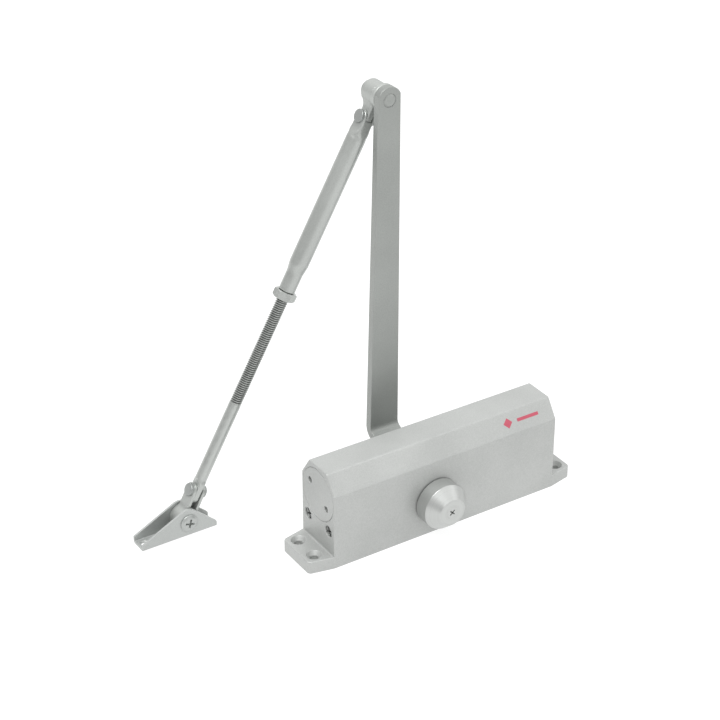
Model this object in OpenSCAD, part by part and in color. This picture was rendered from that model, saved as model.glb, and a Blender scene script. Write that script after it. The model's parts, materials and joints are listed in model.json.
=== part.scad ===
// Surface door closer with a two-piece folding arm.
// Frame: X along the body, Y from the covered pinion end to the arm, Z away from the mounting face.
// Origin: centre of the housing's mounting face.

/* [Housing] */
// Length of the body between its two end faces
body_len = 172.8; // [171:0.2:176]
// Depth of the body, from its front face to its back face
body_depth = 38.4; // [38:0.1:39.4]
// Height of the body above the mounting face
body_h = 66.4; // [66:0.2:70]
// Width that each long chamfer takes from the top face
chamfer_y = 8.8; // [6:0.1:9]
// Height that each long chamfer takes from a side face
chamfer_z = 12.95; // [9:0.05:13]
// Length of each fixing flange beyond the body
flange_len = 16.9; // [16:0.1:18]
// Thickness of each fixing flange
flange_thk = 8.85; // [7:0.05:10]
// Distance between the fixing holes along the body
hole_pitch_x = 191; // [190:0.5:192]
// Distance between the fixing holes across the body
hole_pitch_y = 19; // [17:0.5:19.5]
// Radius of each fixing hole
hole_r = 2.8; // [2.2:0.1:3]
// Height of the cylinder bore's axis
bore_z = 45.8; // [45.6:0.1:46]
// Radius of each end plug
plug_r = 18; // [17.5:0.1:18]

/* [Piston and spring] */
// Radius of the cylinder bore
bore_r = 15; // [14.9:0.1:15.1]
// Length of the piston
piston_len = 85.5; // [85:0.1:86]
// Wire diameter of the return spring
spring_wire = 3.2; // [2.4:0.1:3.4]
// Number of turns of the return spring
spring_turns = 8; // [6:1:8]

/* [Pinion] */
// Where the pinion's axis crosses the body, along X
pinion_x = -8.6; // [-9:0.1:-8]
// Height of the pinion's axis
pinion_z = 24.4; // [24.2:0.1:24.6]
// Size of one tooth, as pitch diameter per tooth
tooth_module = 1.5; // [1.5:0.1:1.5]
// Number of teeth on the pinion
pinion_teeth = 13; // [13:1:13]
// Radius of the pinion's journals
journal_r = 8; // [7.8:0.1:8]
// Width across the flats of the square shaft ends
square_af = 11; // [10:0.1:11]

/* [Main arm] */
// Distance from the pinion to the elbow pin
arm_len = 253.8; // [240:0.2:256]
// Width of the bar at the pinion
arm_w_low = 22.25; // [20:0.05:23]
// Width of the bar at the elbow
arm_w_top = 16.1; // [14:0.1:17]
// Thickness of the bar
arm_thk = 5.5; // [5:0.1:6]
// Where the bar's front face lies, from the body's middle plane
arm_y = 42.6; // [42:0.1:43]
// Lean of the arm from upright, towards +X
arm_tilt = 0.59; // [0:0.01:1]

/* [Forearm] */
// Middle plane of the elbow knuckle
elbow_y = 57.9; // [57.1:0.1:58]
// Distance from the elbow pin to the tilt rivet
tilt_drop = 16.5; // [16.5:0.1:18]
// Distance from the tilt rivet to the rod's end rivet
rod_reach = 265.8; // [262:0.2:270]
// Outer radius of the forearm tube
tube_r = 6.2; // [6.1:0.05:6.4]
// Radius of the threaded rod
rod_r = 3.9; // [3.8:0.05:4]
// Length of the threaded rod that is screwed into the tube's lower end
rod_in_tube = 24.5; // [20:0.5:28]

/* [Shoe] */
// Width over the shoe's two side walls
shoe_w = 13.5; // [13.3:0.1:15]
// Thickness of the shoe's sheet
shoe_sheet = 1.5; // [1.2:0.1:1.6]
// Middle plane of the shoe
shoe_y = 68.95; // [66:0.05:70]
// Height of the pivot screw above the shoe's base
pivot_z = 10.3; // [10.3:0.1:11]
// Distance from the rod's end rivet to the pivot screw
yoke_len = 20.2; // [20:0.1:21]
// Distance between the two fixing holes in the shoe's base
shoe_hole_pitch = 42; // [36:0.5:43]
// Radius of the shoe's fixing holes
shoe_hole_r = 2.4; // [2:0.1:2.6]

/* [Hidden] */
$fn = 64;

// Small amount by which a cutting tool overshoots a face
over = 1;
// Running clearance, on radius, of a turning or sliding fit
run = 0.05;
// Clearance, on radius, of pieces that are fixed to each other
fixed = 0.02;
// Side clearance between two pieces that move past each other
side_gap = 0.3;

body_half = body_len / 2;
depth_half = body_depth / 2;
flange_taper = 12.2;
flange_corner_r = 3;
countersink_r = 5;
countersink_depth = 2.6;
plug_len = 12;
plug_face_x = body_half - plug_len;
spanner_hole_r = 2;
spanner_hole_at = 11.2;
spanner_angle = 32.5;
spanner_hole_depth = 5;
o_ring_wire = 1.2;
groove_r = 15.5;
groove_from = 7.5;
groove_len = 2.7;

valve_y = 12;
valve_z = 24.5;
valve_r = 3.75;
valve_recess = 1;
valve_head_end = 15.2;
valve_stem_r = 2.1;
valve_stem_end = 20.4;
valve_tip_end = 24.4;
valve_ring_at = 16.4;
valve_ring_wire = 0.8;
valve_slot_w = 1.2;
valve_slot_depth = 1.5;
valve_bore_step = 18.4;
valve_bore_end = 28;

cross_bore_r = 11.6;
bearing_from = 12;
bearing_to = 16;
seal_to = 17.85;
nut_from = 18;
nut_to = 20.6;
nut_r = 12.95;

pitch_r = tooth_module * pinion_teeth / 2;
pressure = 25;
base_r = pitch_r * cos(pressure);
tip_r = pitch_r + tooth_module;
root_r = pitch_r - 1.25 * tooth_module;
tooth_half_w = 9;
backlash = 0.12;
tooth_pitch = PI * tooth_module;
rack_line_z = pinion_z + pitch_r;
square_half = square_af / 2;
front_journal_end = -23.4;
front_square_end = -31.5;
back_journal_end = 22;
back_square_end = 27.6;

cap_r = 16;
cap_from = -19.9;
cap_shoulder = -29.5;
cap_face = -37.1;
cap_face_r = 9.4;
cap_cavity_r = 14.2;
cap_cavity_end = -24;

piston_r = bore_r - run;
piston_left = -71.5;
left_head_len = 23.6;
right_head_len = 11.8;
piston_right = piston_left + piston_len;
ring_at = piston_left + 14;
ring_w = 2;
oil_hole_r = 1.5;
ball_r = 2.2;
ball_chamber_r = 2.6;
ball_chamber_len = 8;
ball_x = piston_left + ball_chamber_len - 1.7;

seat_thk = 2;
spring_from = piston_right + 0.1;
spring_to = plug_face_x - seat_thk - 0.1;
spring_mean_r = 12.6;

screw_head_h = 5.3;
hub_r = 12.5;
hub_y = 22.5;
joggle_from = 11;
joggle_to = 21;
arm_end_r = 8.7;
pin_r = 4.6;
pin_head_r = 6;
pin_nose_r = 4.3;
knuckle_half = 6;
knuckle_r = 7.5;
knuckle_round = 2.2;
spacer_thk = elbow_y - knuckle_half - side_gap - arm_y - arm_thk;
tongue_half = 2.2;
rivet_r = 2.5;
elbow_x = pinion_x + arm_len * sin(arm_tilt);
elbow_z = pinion_z + arm_len * cos(arm_tilt);

lean = asin((shoe_y - elbow_y) / rod_reach);
forearm_flat_len = tilt_drop + rod_reach * cos(lean) + yoke_len;
forearm_angle = acos((elbow_z - pivot_z) / forearm_flat_len);
pivot_x = elbow_x - forearm_flat_len * sin(forearm_angle);

ear_in = tongue_half + side_gap;
ear_out = 4.3;
ear_r = 4.8;
rivet_head_r = 4.2;
rivet_head_h = 1.7;
tube_top = 13.5;
tube_neck_from = 100.5;
tube_neck_to = 107.5;
tube_end = 119.6;
neck_r = 5.3;
nut_af = 13;
nut_h = 5.5;
nut_turn = 24;
eye_from = rod_reach - 6.2;
eye_taper = 3.2;
eye_half_w = 4.6;
blade_half_w = 4.4;
blade_end = 8.6;

yoke_half_w = 4.9;
yoke_ear_out = 4.5;
loop_r = 8.3;
loop_in_r = 6.1;
sleeve_r = 6;
pivot_r = 3;
flare_r = 6;

shoe_left = -33.6;
shoe_right = 20.2;
peak_x = -0.45;
peak_r = 7.5;
peak_top = 20.4;
slope_left = 26.5;
slope_right = 42;
wall_corner_r = 1.8;
shoe_hole_left = -29.2;

silver_paint = [0.72, 0.73, 0.72];
bright_steel = [0.78, 0.78, 0.77];
dark_steel = [0.42, 0.43, 0.44];
turned_aluminium = [0.82, 0.82, 0.81];
black_rubber = [0.08, 0.08, 0.08];
bronze = [0.62, 0.5, 0.3];

// Points of an arc about (cx, cy), from angle a0 to angle a1
function arc(cx, cy, r, a0, a1, steps = 8) =
    [for (i = [0 : steps]) let (a = a0 + (a1 - a0) * i / steps) [cx + r * cos(a), cy + r * sin(a)]];

// A point of the involute of the base circle, where the string has unwound by t degrees
function involute(t) = let (u = t * PI / 180)
    base_r * [cos(t) + u * sin(t), sin(t) - u * cos(t)];

// A point turned by an angle about the origin
function turned(p, a) = [p[0] * cos(a) - p[1] * sin(a), p[0] * sin(a) + p[1] * cos(a)];

// Cylinder along X from x0 to x1
module x_rod(r, x0, x1, r2 = undef) {
    translate([x0, 0, 0]) rotate([0, 90, 0])
        cylinder(h = x1 - x0, r1 = r, r2 = r2 == undef ? r : r2);
}

// Cylinder along Y from y0 to y1
module y_rod(r, y0, y1, r2 = undef) {
    translate([0, y0, 0]) rotate([-90, 0, 0])
        cylinder(h = y1 - y0, r1 = r, r2 = r2 == undef ? r : r2);
}

// Cylinder along Z from z0 to z1
module z_rod(r, z0, z1, r2 = undef) {
    translate([0, 0, z0]) cylinder(h = z1 - z0, r1 = r, r2 = r2 == undef ? r : r2);
}

// Ring of round wire about the X axis
module x_ring(mean_r, wire_r) {
    rotate([0, 90, 0]) rotate_extrude() translate([mean_r, 0]) circle(wire_r, $fn = 24);
}

// Places its children at the pinion, turned with the arm
module at_pinion() translate([pinion_x, 0, pinion_z]) rotate([0, arm_tilt, 0]) children();

// Places its children on the pinion's axis, not turned
module on_pinion_axis() translate([pinion_x, 0, pinion_z]) children();

// Places its children at the elbow pin, with -Z towards the shoe and X along the tilt rivet
module at_elbow() translate([elbow_x, elbow_y, elbow_z]) rotate([0, forearm_angle, 0]) children();

// Places its children at the tilt rivet, with the forearm running down -Z
module at_forearm() at_elbow() translate([0, 0, -tilt_drop]) rotate([lean, 0, 0]) children();

// Places its children at the rod's end rivet, with the pivot screw straight down -Z
module at_yoke() at_forearm() translate([0, 0, -rod_reach]) rotate([-lean, 0, 0]) children();

// Places its children at the pivot screw
module at_pivot() translate([pivot_x, shoe_y, pivot_z]) children();

// Housing: a long block with chamfered top edges and two flanges, bored for the piston and the pinion
module flange_plate() {
    tangent_x = flange_len - flange_corner_r * (1 - sin(flange_taper));
    corner_y = depth_half - tangent_x * tan(flange_taper) - flange_corner_r * cos(flange_taper);
    upper = arc(flange_len - flange_corner_r, corner_y, flange_corner_r, 0, 90 - flange_taper);
    lower = [for (i = [len(upper) - 1 : -1 : 0]) [upper[i][0], -upper[i][1]]];
    translate([body_half, 0, 0]) linear_extrude(flange_thk)
        polygon(concat([[-over, -depth_half], [0, -depth_half]], lower, upper,
            [[0, depth_half], [-over, depth_half]]));
}

module body_block() {
    shoulder_y = depth_half - chamfer_y;
    shoulder_z = body_h - chamfer_z;
    rotate([90, 0, 90]) linear_extrude(body_len, center = true)
        polygon([[-depth_half, 0], [depth_half, 0], [depth_half, shoulder_z], [shoulder_y, body_h],
            [-shoulder_y, body_h], [-depth_half, shoulder_z]]);
}

module fixing_hole() {
    z_rod(hole_r, -over, flange_thk + over);
    z_rod(hole_r, flange_thk - countersink_depth, flange_thk, countersink_r);
    z_rod(countersink_r, flange_thk, flange_thk + over);
}

module valve_bore() {
    x_rod(valve_r + 0.1, -over, valve_bore_step);
    x_rod(valve_stem_r + 0.25, valve_bore_step - over, valve_bore_end);
    translate([valve_tip_end - 1, 0, 0]) z_rod(1.2, 0, bore_z - valve_z - bore_r + 4);
}

module housing() {
    color(silver_paint) difference() {
        union() {
            body_block();
            flange_plate();
            mirror([1, 0, 0]) flange_plate();
        }
        for (x = [-1, 1], y = [-1, 1])
            translate([x * hole_pitch_x / 2, y * hole_pitch_y / 2, 0]) fixing_hole();
        translate([0, 0, bore_z]) {
            x_rod(bore_r, -body_half, body_half);
            x_rod(plug_r + run, -body_half - over, -plug_face_x);
            x_rod(plug_r + run, plug_face_x, body_half + over);
        }
        on_pinion_axis() {
            y_rod(cross_bore_r, -depth_half - over, depth_half + over);
            y_rod(nut_r + run, -depth_half - over, -nut_from + run);
            y_rod(nut_r + run, nut_from - run, depth_half + over);
        }
        for (y = [-1, 1]) translate([-body_half, y * valve_y, valve_z]) valve_bore();
    }
}

// End plug: screws into the end of the bore; its outer face has two holes for a pin spanner
module end_plug() {
    color(silver_paint) translate([plug_face_x, 0, bore_z]) difference() {
        union() {
            x_rod(plug_r, plug_len - groove_from, plug_len - 0.6);
            x_rod(plug_r, plug_len - 0.6, plug_len, plug_r - 0.6);
            x_rod(groove_r, plug_len - groove_from - groove_len, plug_len - groove_from);
            x_rod(plug_r - 0.1, 0, plug_len - groove_from - groove_len);
        }
        for (a = [0, 180])
            rotate([a + spanner_angle, 0, 0]) translate([0, spanner_hole_at, 0])
                x_rod(spanner_hole_r, plug_len - spanner_hole_depth, plug_len + over);
    }
}

module end_plug_left() mirror([1, 0, 0]) end_plug();
module end_plug_right() end_plug();

module plug_o_rings() {
    ring_x = body_half - groove_from - groove_len / 2;
    color(black_rubber) for (side = [-1, 1])
        translate([side * ring_x, 0, bore_z]) x_ring(groove_r + run + o_ring_wire, o_ring_wire);
}

// Valve screw: threaded head with crossed slots, plain stem and needle tip
module valve_screw() {
    color(bright_steel) difference() {
        union() {
            x_rod(valve_r, valve_recess, valve_head_end);
            x_rod(valve_stem_r, valve_head_end, valve_stem_end);
            x_rod(valve_stem_r, valve_stem_end, valve_tip_end, 0.7);
        }
        for (a = [0, 90]) rotate([a, 0, 0])
            translate([valve_recess - over, -valve_r - over, -valve_slot_w / 2])
                cube([over + valve_slot_depth, 2 * (valve_r + over), valve_slot_w]);
    }
}

module sweep_valve() translate([-body_half, -valve_y, valve_z]) valve_screw();
module latch_valve() translate([-body_half, valve_y, valve_z]) valve_screw();

module valve_o_rings() {
    color(black_rubber) for (y = [-1, 1])
        translate([-body_half + valve_ring_at, y * valve_y, valve_z]) 
            x_ring(valve_stem_r + run + valve_ring_wire, valve_ring_wire);
}

// Pinion: one steel shaft with involute teeth in the middle and a square at each end
module pinion_profile() {
    half_tooth = 90 / pinion_teeth + (tan(pressure) * 180 / PI - pressure)
        - backlash / 2 / pitch_r * 180 / PI;
    tip_roll = sqrt(pow(tip_r / base_r, 2) - 1) * 180 / PI;
    flank = [for (i = [0 : 5]) turned(involute(tip_roll * i / 5), -half_tooth)];
    root = turned([root_r, 0], -half_tooth);
    one = concat([root], flank, [for (i = [5 : -1 : 0]) [flank[i][0], -flank[i][1]]],
        [[root[0], -root[1]]]);
    polygon([for (t = [0 : pinion_teeth - 1], p = one) turned(p, 90 + t * 360 / pinion_teeth)]);
}

module square_end(y0, y1) {
    rotate([0, arm_tilt, 0]) translate([-square_half, y0, -square_half])
        cube([square_af, y1 - y0, square_af]);
}

module pinion_shaft() {
    color(dark_steel) on_pinion_axis() difference() {
        union() {
            rotate([90, 0, 0]) linear_extrude(2 * tooth_half_w, center = true) pinion_profile();
            y_rod(journal_r, front_journal_end, -tooth_half_w);
            y_rod(journal_r, tooth_half_w, back_journal_end);
            square_end(front_square_end, front_journal_end);
            square_end(back_journal_end, back_square_end);
        }
        y_rod(2.5, front_square_end - over, front_square_end + 12);
        y_rod(4, back_square_end - 16, back_square_end + over);
    }
}

module bearing_sleeve(y0, y1) {
    difference() {
        y_rod(cross_bore_r - fixed, y0, y1);
        y_rod(journal_r + run, y0 - over, y1 + over);
    }
}

module pinion_bearing_front() color(bronze) on_pinion_axis() bearing_sleeve(-bearing_to, -bearing_from);
module pinion_bearing_back() color(bronze) on_pinion_axis() bearing_sleeve(bearing_from, bearing_to);

module pinion_seals() {
    color(black_rubber) on_pinion_axis() {
        bearing_sleeve(-seal_to, -bearing_to - run);
        bearing_sleeve(bearing_to + run, seal_to);
    }
}

// Bearing nut: a thin threaded ring with two spanner notches
module bearing_nut() {
    color(dark_steel) difference() {
        y_rod(nut_r, nut_from, nut_to);
        y_rod(journal_r + 0.4, nut_from - over, nut_to + over);
        for (side = [-1, 1])
            translate([side * (nut_r - 1) - 1.5, depth_half + 0.3, -1.5]) cube([3, 3, 3]);
    }
}

module bearing_nut_front() on_pinion_axis() mirror([0, 1, 0]) bearing_nut();
module bearing_nut_back() on_pinion_axis() bearing_nut();

// Pinion cap: a turned cover on the free square end, held by one screw
module pinion_cap() {
    color(turned_aluminium) on_pinion_axis() difference() {
        union() {
            y_rod(cap_r, cap_shoulder, cap_from);
            y_rod(cap_face_r, cap_face, cap_shoulder, cap_r);
        }
        y_rod(cap_cavity_r, cap_cavity_end, cap_from + over);
        rotate([0, arm_tilt, 0])
            translate([-square_half - run, front_square_end - 0.8, -square_half - run])
                cube([square_af + 2 * run, over + cap_cavity_end - front_square_end, square_af + 2 * run]);
        y_rod(2.6, cap_face - over, front_square_end);
        y_rod(4.5, cap_face, cap_face + 2.1, 2.6);
        y_rod(4.5, cap_face - over, cap_face);
    }
}

// Cross recess for a screw head that faces -Y
module cross_recess(width, depth) {
    for (a = [0, 90]) rotate([0, a, 0])
        translate([-width / 2, -over, -width / 10]) cube([width, depth + over, width / 5]);
}

module cap_screw() {
    color(bright_steel) on_pinion_axis() difference() {
        union() {
            y_rod(4.4, cap_face + 0.05, cap_face + 2.15, 2.4);
            y_rod(2.4, cap_face + 2.15, front_square_end + 9);
        }
        translate([0, cap_face + 0.05, 0]) cross_recess(4.6, 1.4);
    }
}

// Piston: a long steel cylinder with a rack cut into its underside and a check valve in its left end
module rack_space(x) {
    low = tooth_pitch / 4 + tooth_module * tan(pressure) + backlash / 2;
    high = tooth_pitch / 4 - 1.25 * tooth_module * tan(pressure) + backlash / 2;
    deeper = tan(pressure) * over;
    translate([x, 0, rack_line_z]) rotate([90, 0, 0]) linear_extrude(2 * bore_r, center = true)
        polygon([[-low - deeper, -tooth_module - over], [low + deeper, -tooth_module - over],
            [high, 1.25 * tooth_module], [-high, 1.25 * tooth_module]]);
}

module piston() {
    rack_left = piston_left + left_head_len;
    rack_right = piston_right - right_head_len;
    color(dark_steel) difference() {
        translate([0, 0, bore_z]) x_rod(piston_r, piston_left, piston_right);
        translate([rack_left, -bore_r, bore_z - bore_r - over])
            cube([rack_right - rack_left, 2 * bore_r, rack_line_z - tooth_module - bore_z + bore_r + over]);
        for (i = [-7 : 1]) rack_space(pinion_x + i * tooth_pitch);
        translate([0, 0, bore_z]) {
            x_rod(oil_hole_r, piston_left - over, piston_right + over);
            x_rod(ball_chamber_r, piston_left - over, piston_left + ball_chamber_len);
            difference() {
                x_rod(bore_r + over, ring_at - run, ring_at + ring_w + run);
                x_rod(piston_r - 1.6, ring_at - over, ring_at + ring_w + over);
            }
        }
    }
}

module piston_ring() {
    color(black_rubber) translate([0, 0, bore_z]) difference() {
        x_rod(piston_r + 0.02, ring_at, ring_at + ring_w);
        x_rod(piston_r - 1.55, ring_at - over, ring_at + ring_w + over);
    }
}

module check_ball() color(bright_steel) translate([ball_x, 0, bore_z]) sphere(ball_r);

module check_ball_retainer() {
    color(bright_steel) translate([0, 0, bore_z]) difference() {
        x_rod(ball_chamber_r - fixed, piston_left + 0.2, piston_left + 1.2);
        x_rod(1, piston_left - over, piston_left + 2);
    }
}

// Return spring: round wire in a helix between the piston and the spring seat
module return_spring() {
    sides = 6;
    per_turn = 16;
    rings = spring_turns * per_turn;
    wire_r = spring_wire / 2;
    rise = (spring_to - spring_from - spring_wire) / rings;
    points = [for (i = [0 : rings], s = [0 : sides - 1])
        let (a = i * 360 / per_turn, w = s * 360 / sides, r = spring_mean_r + wire_r * cos(w))
        [spring_from + wire_r + rise * i + wire_r * sin(w), r * cos(a), bore_z + r * sin(a)]];
    walls = [for (i = [0 : rings - 1], s = [0 : sides - 1])
        [i * sides + s, i * sides + (s + 1) % sides, (i + 1) * sides + (s + 1) % sides, (i + 1) * sides + s]];
    color(dark_steel) polyhedron(points, concat(walls, [[for (s = [sides - 1 : -1 : 0]) s],
        [for (s = [0 : sides - 1]) rings * sides + s]]));
}

module spring_seat() {
    color(bright_steel) translate([0, 0, bore_z]) {
        x_rod(bore_r - 0.2, plug_face_x - seat_thk, plug_face_x);
        x_rod(spring_mean_r - spring_wire / 2 - 0.8, plug_face_x - seat_thk - 5, plug_face_x - seat_thk);
    }
}

// Main arm: a flat tapered bar with a joggled foot that sits on the pinion's square
module arm_side_profile() {
    bend = atan2(arm_y - hub_y, joggle_to - joggle_from);
    shift = arm_thk / 2 * tan(bend / 2);
    top = arm_len + arm_end_r + over;
    polygon([[hub_y, -hub_r - over], [hub_y + arm_thk, -hub_r - over],
        [hub_y + arm_thk, joggle_from - shift], [arm_y + arm_thk, joggle_to - shift],
        [arm_y + arm_thk, top], [arm_y, top],
        [arm_y, joggle_to + shift], [hub_y, joggle_from + shift]]);
}

module arm_front_outline() {
    corner = asin(sqrt(pow(arm_end_r, 2) - pow(arm_w_top / 2, 2)) / arm_end_r);
    circle(hub_r);
    polygon(concat([[-arm_w_low / 2, 0], [arm_w_low / 2, 0]],
        arc(0, arm_len, arm_end_r, corner, 180 - corner, 20)));
}

module main_arm() {
    color(silver_paint) at_pinion() difference() {
        intersection() {
            rotate([90, 0, 90]) linear_extrude(2 * hub_r + 2, center = true) arm_side_profile();
            rotate([90, 0, 0]) linear_extrude(2 * (arm_y + 2 * arm_thk), center = true) arm_front_outline();
        }
        translate([-square_half - fixed, hub_y - over, -square_half - fixed])
            cube([square_af + 2 * fixed, arm_thk + 2 * over, square_af + 2 * fixed]);
        translate([0, 0, arm_len]) y_rod(pin_nose_r + fixed, arm_y - over, arm_y + arm_thk + over);
    }
}

module arm_washer() {
    washer_y = hub_y + arm_thk + 0.05;
    color(bright_steel) at_pinion() difference() {
        y_rod(9, washer_y, washer_y + 1.8);
        y_rod(4.2, washer_y - over, washer_y + 1.8 + over);
    }
}

module arm_screw() {
    head_y = hub_y + arm_thk + 1.85;
    color(dark_steel) at_pinion() {
        y_rod(3.98, back_square_end - 14, head_y);
        intersection() {
            rotate([-90, 0, 0]) translate([0, 0, head_y])
                cylinder(h = screw_head_h, r = nut_af / 2 / cos(30), $fn = 6);
            y_rod(8.6, head_y, head_y + screw_head_h, 6.6);
        }
    }
}

// Elbow: a headed pin riveted in the arm, a spacer, and a knuckle with a flat tongue
module elbow_pin() {
    shoulder_y = arm_y + arm_thk;
    head_y = elbow_y + knuckle_half + side_gap;
    color(bright_steel) translate([elbow_x, 0, elbow_z]) {
        y_rod(pin_nose_r - 0.5, arm_y - 0.4, arm_y, pin_nose_r);
        y_rod(pin_nose_r, arm_y, shoulder_y);
        y_rod(pin_r, shoulder_y, head_y);
        y_rod(pin_head_r, head_y, head_y + 1.2);
        y_rod(pin_head_r, head_y + 1.2, head_y + 2, pin_head_r - 1);
    }
}

module elbow_spacer() {
    color(silver_paint) translate([elbow_x, arm_y + arm_thk, elbow_z]) difference() {
        y_rod(8.6, 0, spacer_thk);
        y_rod(pin_r + fixed, -over, spacer_thk + over);
    }
}

module elbow_knuckle() {
    color(silver_paint) at_elbow() difference() {
        union() {
            y_rod(knuckle_r, -knuckle_half, knuckle_half - knuckle_round);
            y_rod(knuckle_r, knuckle_half - knuckle_round, knuckle_half, knuckle_r - knuckle_round / 2);
            translate([-tongue_half, -eye_half_w, -tilt_drop])
                cube([2 * tongue_half, 2 * eye_half_w, tilt_drop]);
            translate([0, 0, -tilt_drop]) x_rod(eye_half_w, -tongue_half, tongue_half);
        }
        y_rod(pin_r + run, -knuckle_half - over, knuckle_half + over);
        translate([0, 0, -tilt_drop]) x_rod(rivet_r + run, -tongue_half - over, tongue_half + over);
    }
}

// Rivet along X with a flat round head at each end
module rivet(grip) {
    edge = 0.5;
    x_rod(rivet_r, -grip, grip);
    for (side = [0, 1]) mirror([side, 0, 0]) {
        x_rod(rivet_head_r, grip, grip + rivet_head_h - edge);
        x_rod(rivet_head_r, grip + rivet_head_h - edge, grip + rivet_head_h, rivet_head_r - edge);
    }
}

module elbow_tilt_rivet() color(bright_steel) at_forearm() rivet(ear_out);

// Forearm tube: forked at the top, swaged down and tapped at the bottom
module forearm_tube() {
    fork_foot = 8;
    color(silver_paint) at_forearm() difference() {
        union() {
            x_rod(ear_r, -ear_out, ear_out);
            translate([-ear_out, -ear_r, -fork_foot]) cube([2 * ear_out, 2 * ear_r, fork_foot]);
            hull() {
                translate([-ear_out, -ear_r, -fork_foot]) cube([2 * ear_out, 2 * ear_r, 0.1]);
                z_rod(tube_r, -tube_top, -tube_top + 0.1, $fn = 32);
            }
            z_rod(tube_r, -tube_neck_from, -tube_top + 0.05);
            z_rod(neck_r, -tube_neck_to, -tube_neck_from, tube_r);
            z_rod(neck_r, -tube_end, -tube_neck_to);
        }
        x_rod(eye_half_w + 0.45, -ear_in, ear_in);
        translate([-ear_in, -tube_r - over, 0]) cube([2 * ear_in, 2 * (tube_r + over), 20]);
        x_rod(rivet_r + fixed, -ear_out - over, ear_out + over);
        z_rod(4.75, -tube_neck_from - 4, -fork_foot - 16);
        z_rod(rod_r + run, -tube_end - over, -tube_neck_from);
    }
}

module lock_nut() {
    nut_top = -tube_end - side_gap;
    corner_r = nut_af / 2 / cos(30);
    color(bright_steel) at_forearm() difference() {
        intersection() {
            rotate([0, 0, nut_turn]) z_rod(corner_r, nut_top - nut_h, nut_top, $fn = 6);
            z_rod(nut_af / 2, nut_top - nut_h, nut_top - nut_h / 2, corner_r + 1.5);
            z_rod(corner_r + 6, nut_top - nut_h, nut_top, nut_af / 2);
        }
        z_rod(rod_r + run, nut_top - nut_h - over, nut_top + over);
    }
}

// Threaded rod: plain at the bottom, flattened to a long eye
module threaded_rod() {
    color(bright_steel) at_forearm() difference() {
        union() {
            z_rod(rod_r, eye_taper - eye_from, rod_in_tube - tube_end);
            hull() {
                z_rod(rod_r, eye_taper - eye_from, eye_taper - eye_from + 0.1, $fn = 32);
                translate([-tongue_half, -blade_half_w, -eye_from])
                    cube([2 * tongue_half, 2 * blade_half_w, 0.1]);
            }
            translate([-tongue_half, -blade_half_w, blade_half_w - blade_end - rod_reach])
                cube([2 * tongue_half, 2 * blade_half_w, rod_reach + blade_end - blade_half_w - eye_from + 0.1]);
            translate([0, 0, blade_half_w - blade_end - rod_reach])
                x_rod(blade_half_w, -tongue_half, tongue_half);
        }
        translate([0, 0, -rod_reach]) x_rod(rivet_r + run, -tongue_half - over, tongue_half + over);
    }
}

// Yoke: a steel strap bent round the pivot sleeve, with two ears for the rod's end
module yoke_outline() {
    flare_x = yoke_ear_out + flare_r;
    flare_z = -yoke_len + sqrt(pow(loop_r + flare_r, 2) - pow(flare_x, 2));
    touch = loop_r / (loop_r + flare_r);
    touch_x = flare_x * touch;
    touch_z = -yoke_len + (flare_z + yoke_len) * touch;
    difference() {
        union() {
            translate([0, -yoke_len]) circle(loop_r);
            polygon([[-yoke_ear_out, yoke_half_w], [-yoke_ear_out, flare_z], [-touch_x, touch_z],
                [0, -yoke_len], [touch_x, touch_z], [yoke_ear_out, flare_z], [yoke_ear_out, yoke_half_w]]);
        }
        for (side = [-1, 1]) translate([side * flare_x, flare_z]) circle(flare_r);
        translate([0, -yoke_len]) circle(loop_in_r);
        translate([-ear_in, -yoke_len + loop_in_r - 1]) square([2 * ear_in, yoke_len + yoke_half_w]);
    }
}

module shoe_yoke() {
    color(silver_paint) at_yoke() difference() {
        intersection() {
            rotate([90, 0, 0]) linear_extrude(2 * yoke_half_w, center = true) yoke_outline();
            union() {
                x_rod(yoke_half_w, -loop_r - over, loop_r + over);
                translate([-loop_r - over, -yoke_half_w - over, -yoke_len - loop_r - over])
                    cube([2 * (loop_r + over), 2 * (yoke_half_w + over), yoke_len + loop_r + over]);
            }
        }
        x_rod(rivet_r + fixed, -loop_r, loop_r);
    }
}

module pivot_sleeve() {
    color(bright_steel) at_pivot() difference() {
        y_rod(sleeve_r, -yoke_half_w, yoke_half_w);
        y_rod(pivot_r + run, -yoke_half_w - over, yoke_half_w + over);
    }
}

module rod_end_rivet() color(bright_steel) at_yoke() rivet(yoke_ear_out);

// Shoe: a sheet channel with two pointed side walls
module shoe_wall_outline() {
    peak_z = peak_top - peak_r;
    left_touch = [peak_x - peak_r * sin(slope_left), peak_z + peak_r * cos(slope_left)];
    right_touch = [peak_x + peak_r * sin(slope_right), peak_z + peak_r * cos(slope_right)];
    left_end_z = left_touch[1] - (left_touch[0] - shoe_left) * tan(slope_left);
    corner_x = shoe_right - wall_corner_r;
    corner_z = right_touch[1] - wall_corner_r * cos(slope_right)
        - (corner_x + wall_corner_r * sin(slope_right) - right_touch[0]) * tan(slope_right);
    polygon(concat([[shoe_left, 0], [shoe_right, 0]],
        arc(corner_x, corner_z, wall_corner_r, 0, 90 - slope_right, 6),
        arc(peak_x, peak_z, peak_r, 90 - slope_right, 90 + slope_left, 12),
        [[shoe_left, left_end_z]]));
}

module shoe_bracket() {
    inner_w = shoe_w - 2 * shoe_sheet;
    color(silver_paint) translate([pivot_x, shoe_y, 0]) difference() {
        rotate([90, 0, 0]) linear_extrude(shoe_w, center = true) shoe_wall_outline();
        translate([shoe_left - over, -inner_w / 2, shoe_sheet])
            cube([shoe_right - shoe_left + 2 * over, inner_w, peak_top + over]);
        translate([0, 0, pivot_z]) y_rod(pivot_r + fixed, -shoe_w, shoe_w);
        for (x = [shoe_hole_left, shoe_hole_left + shoe_hole_pitch])
            translate([x, 0, 0]) z_rod(shoe_hole_r, -over, shoe_sheet + over);
    }
}

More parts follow.
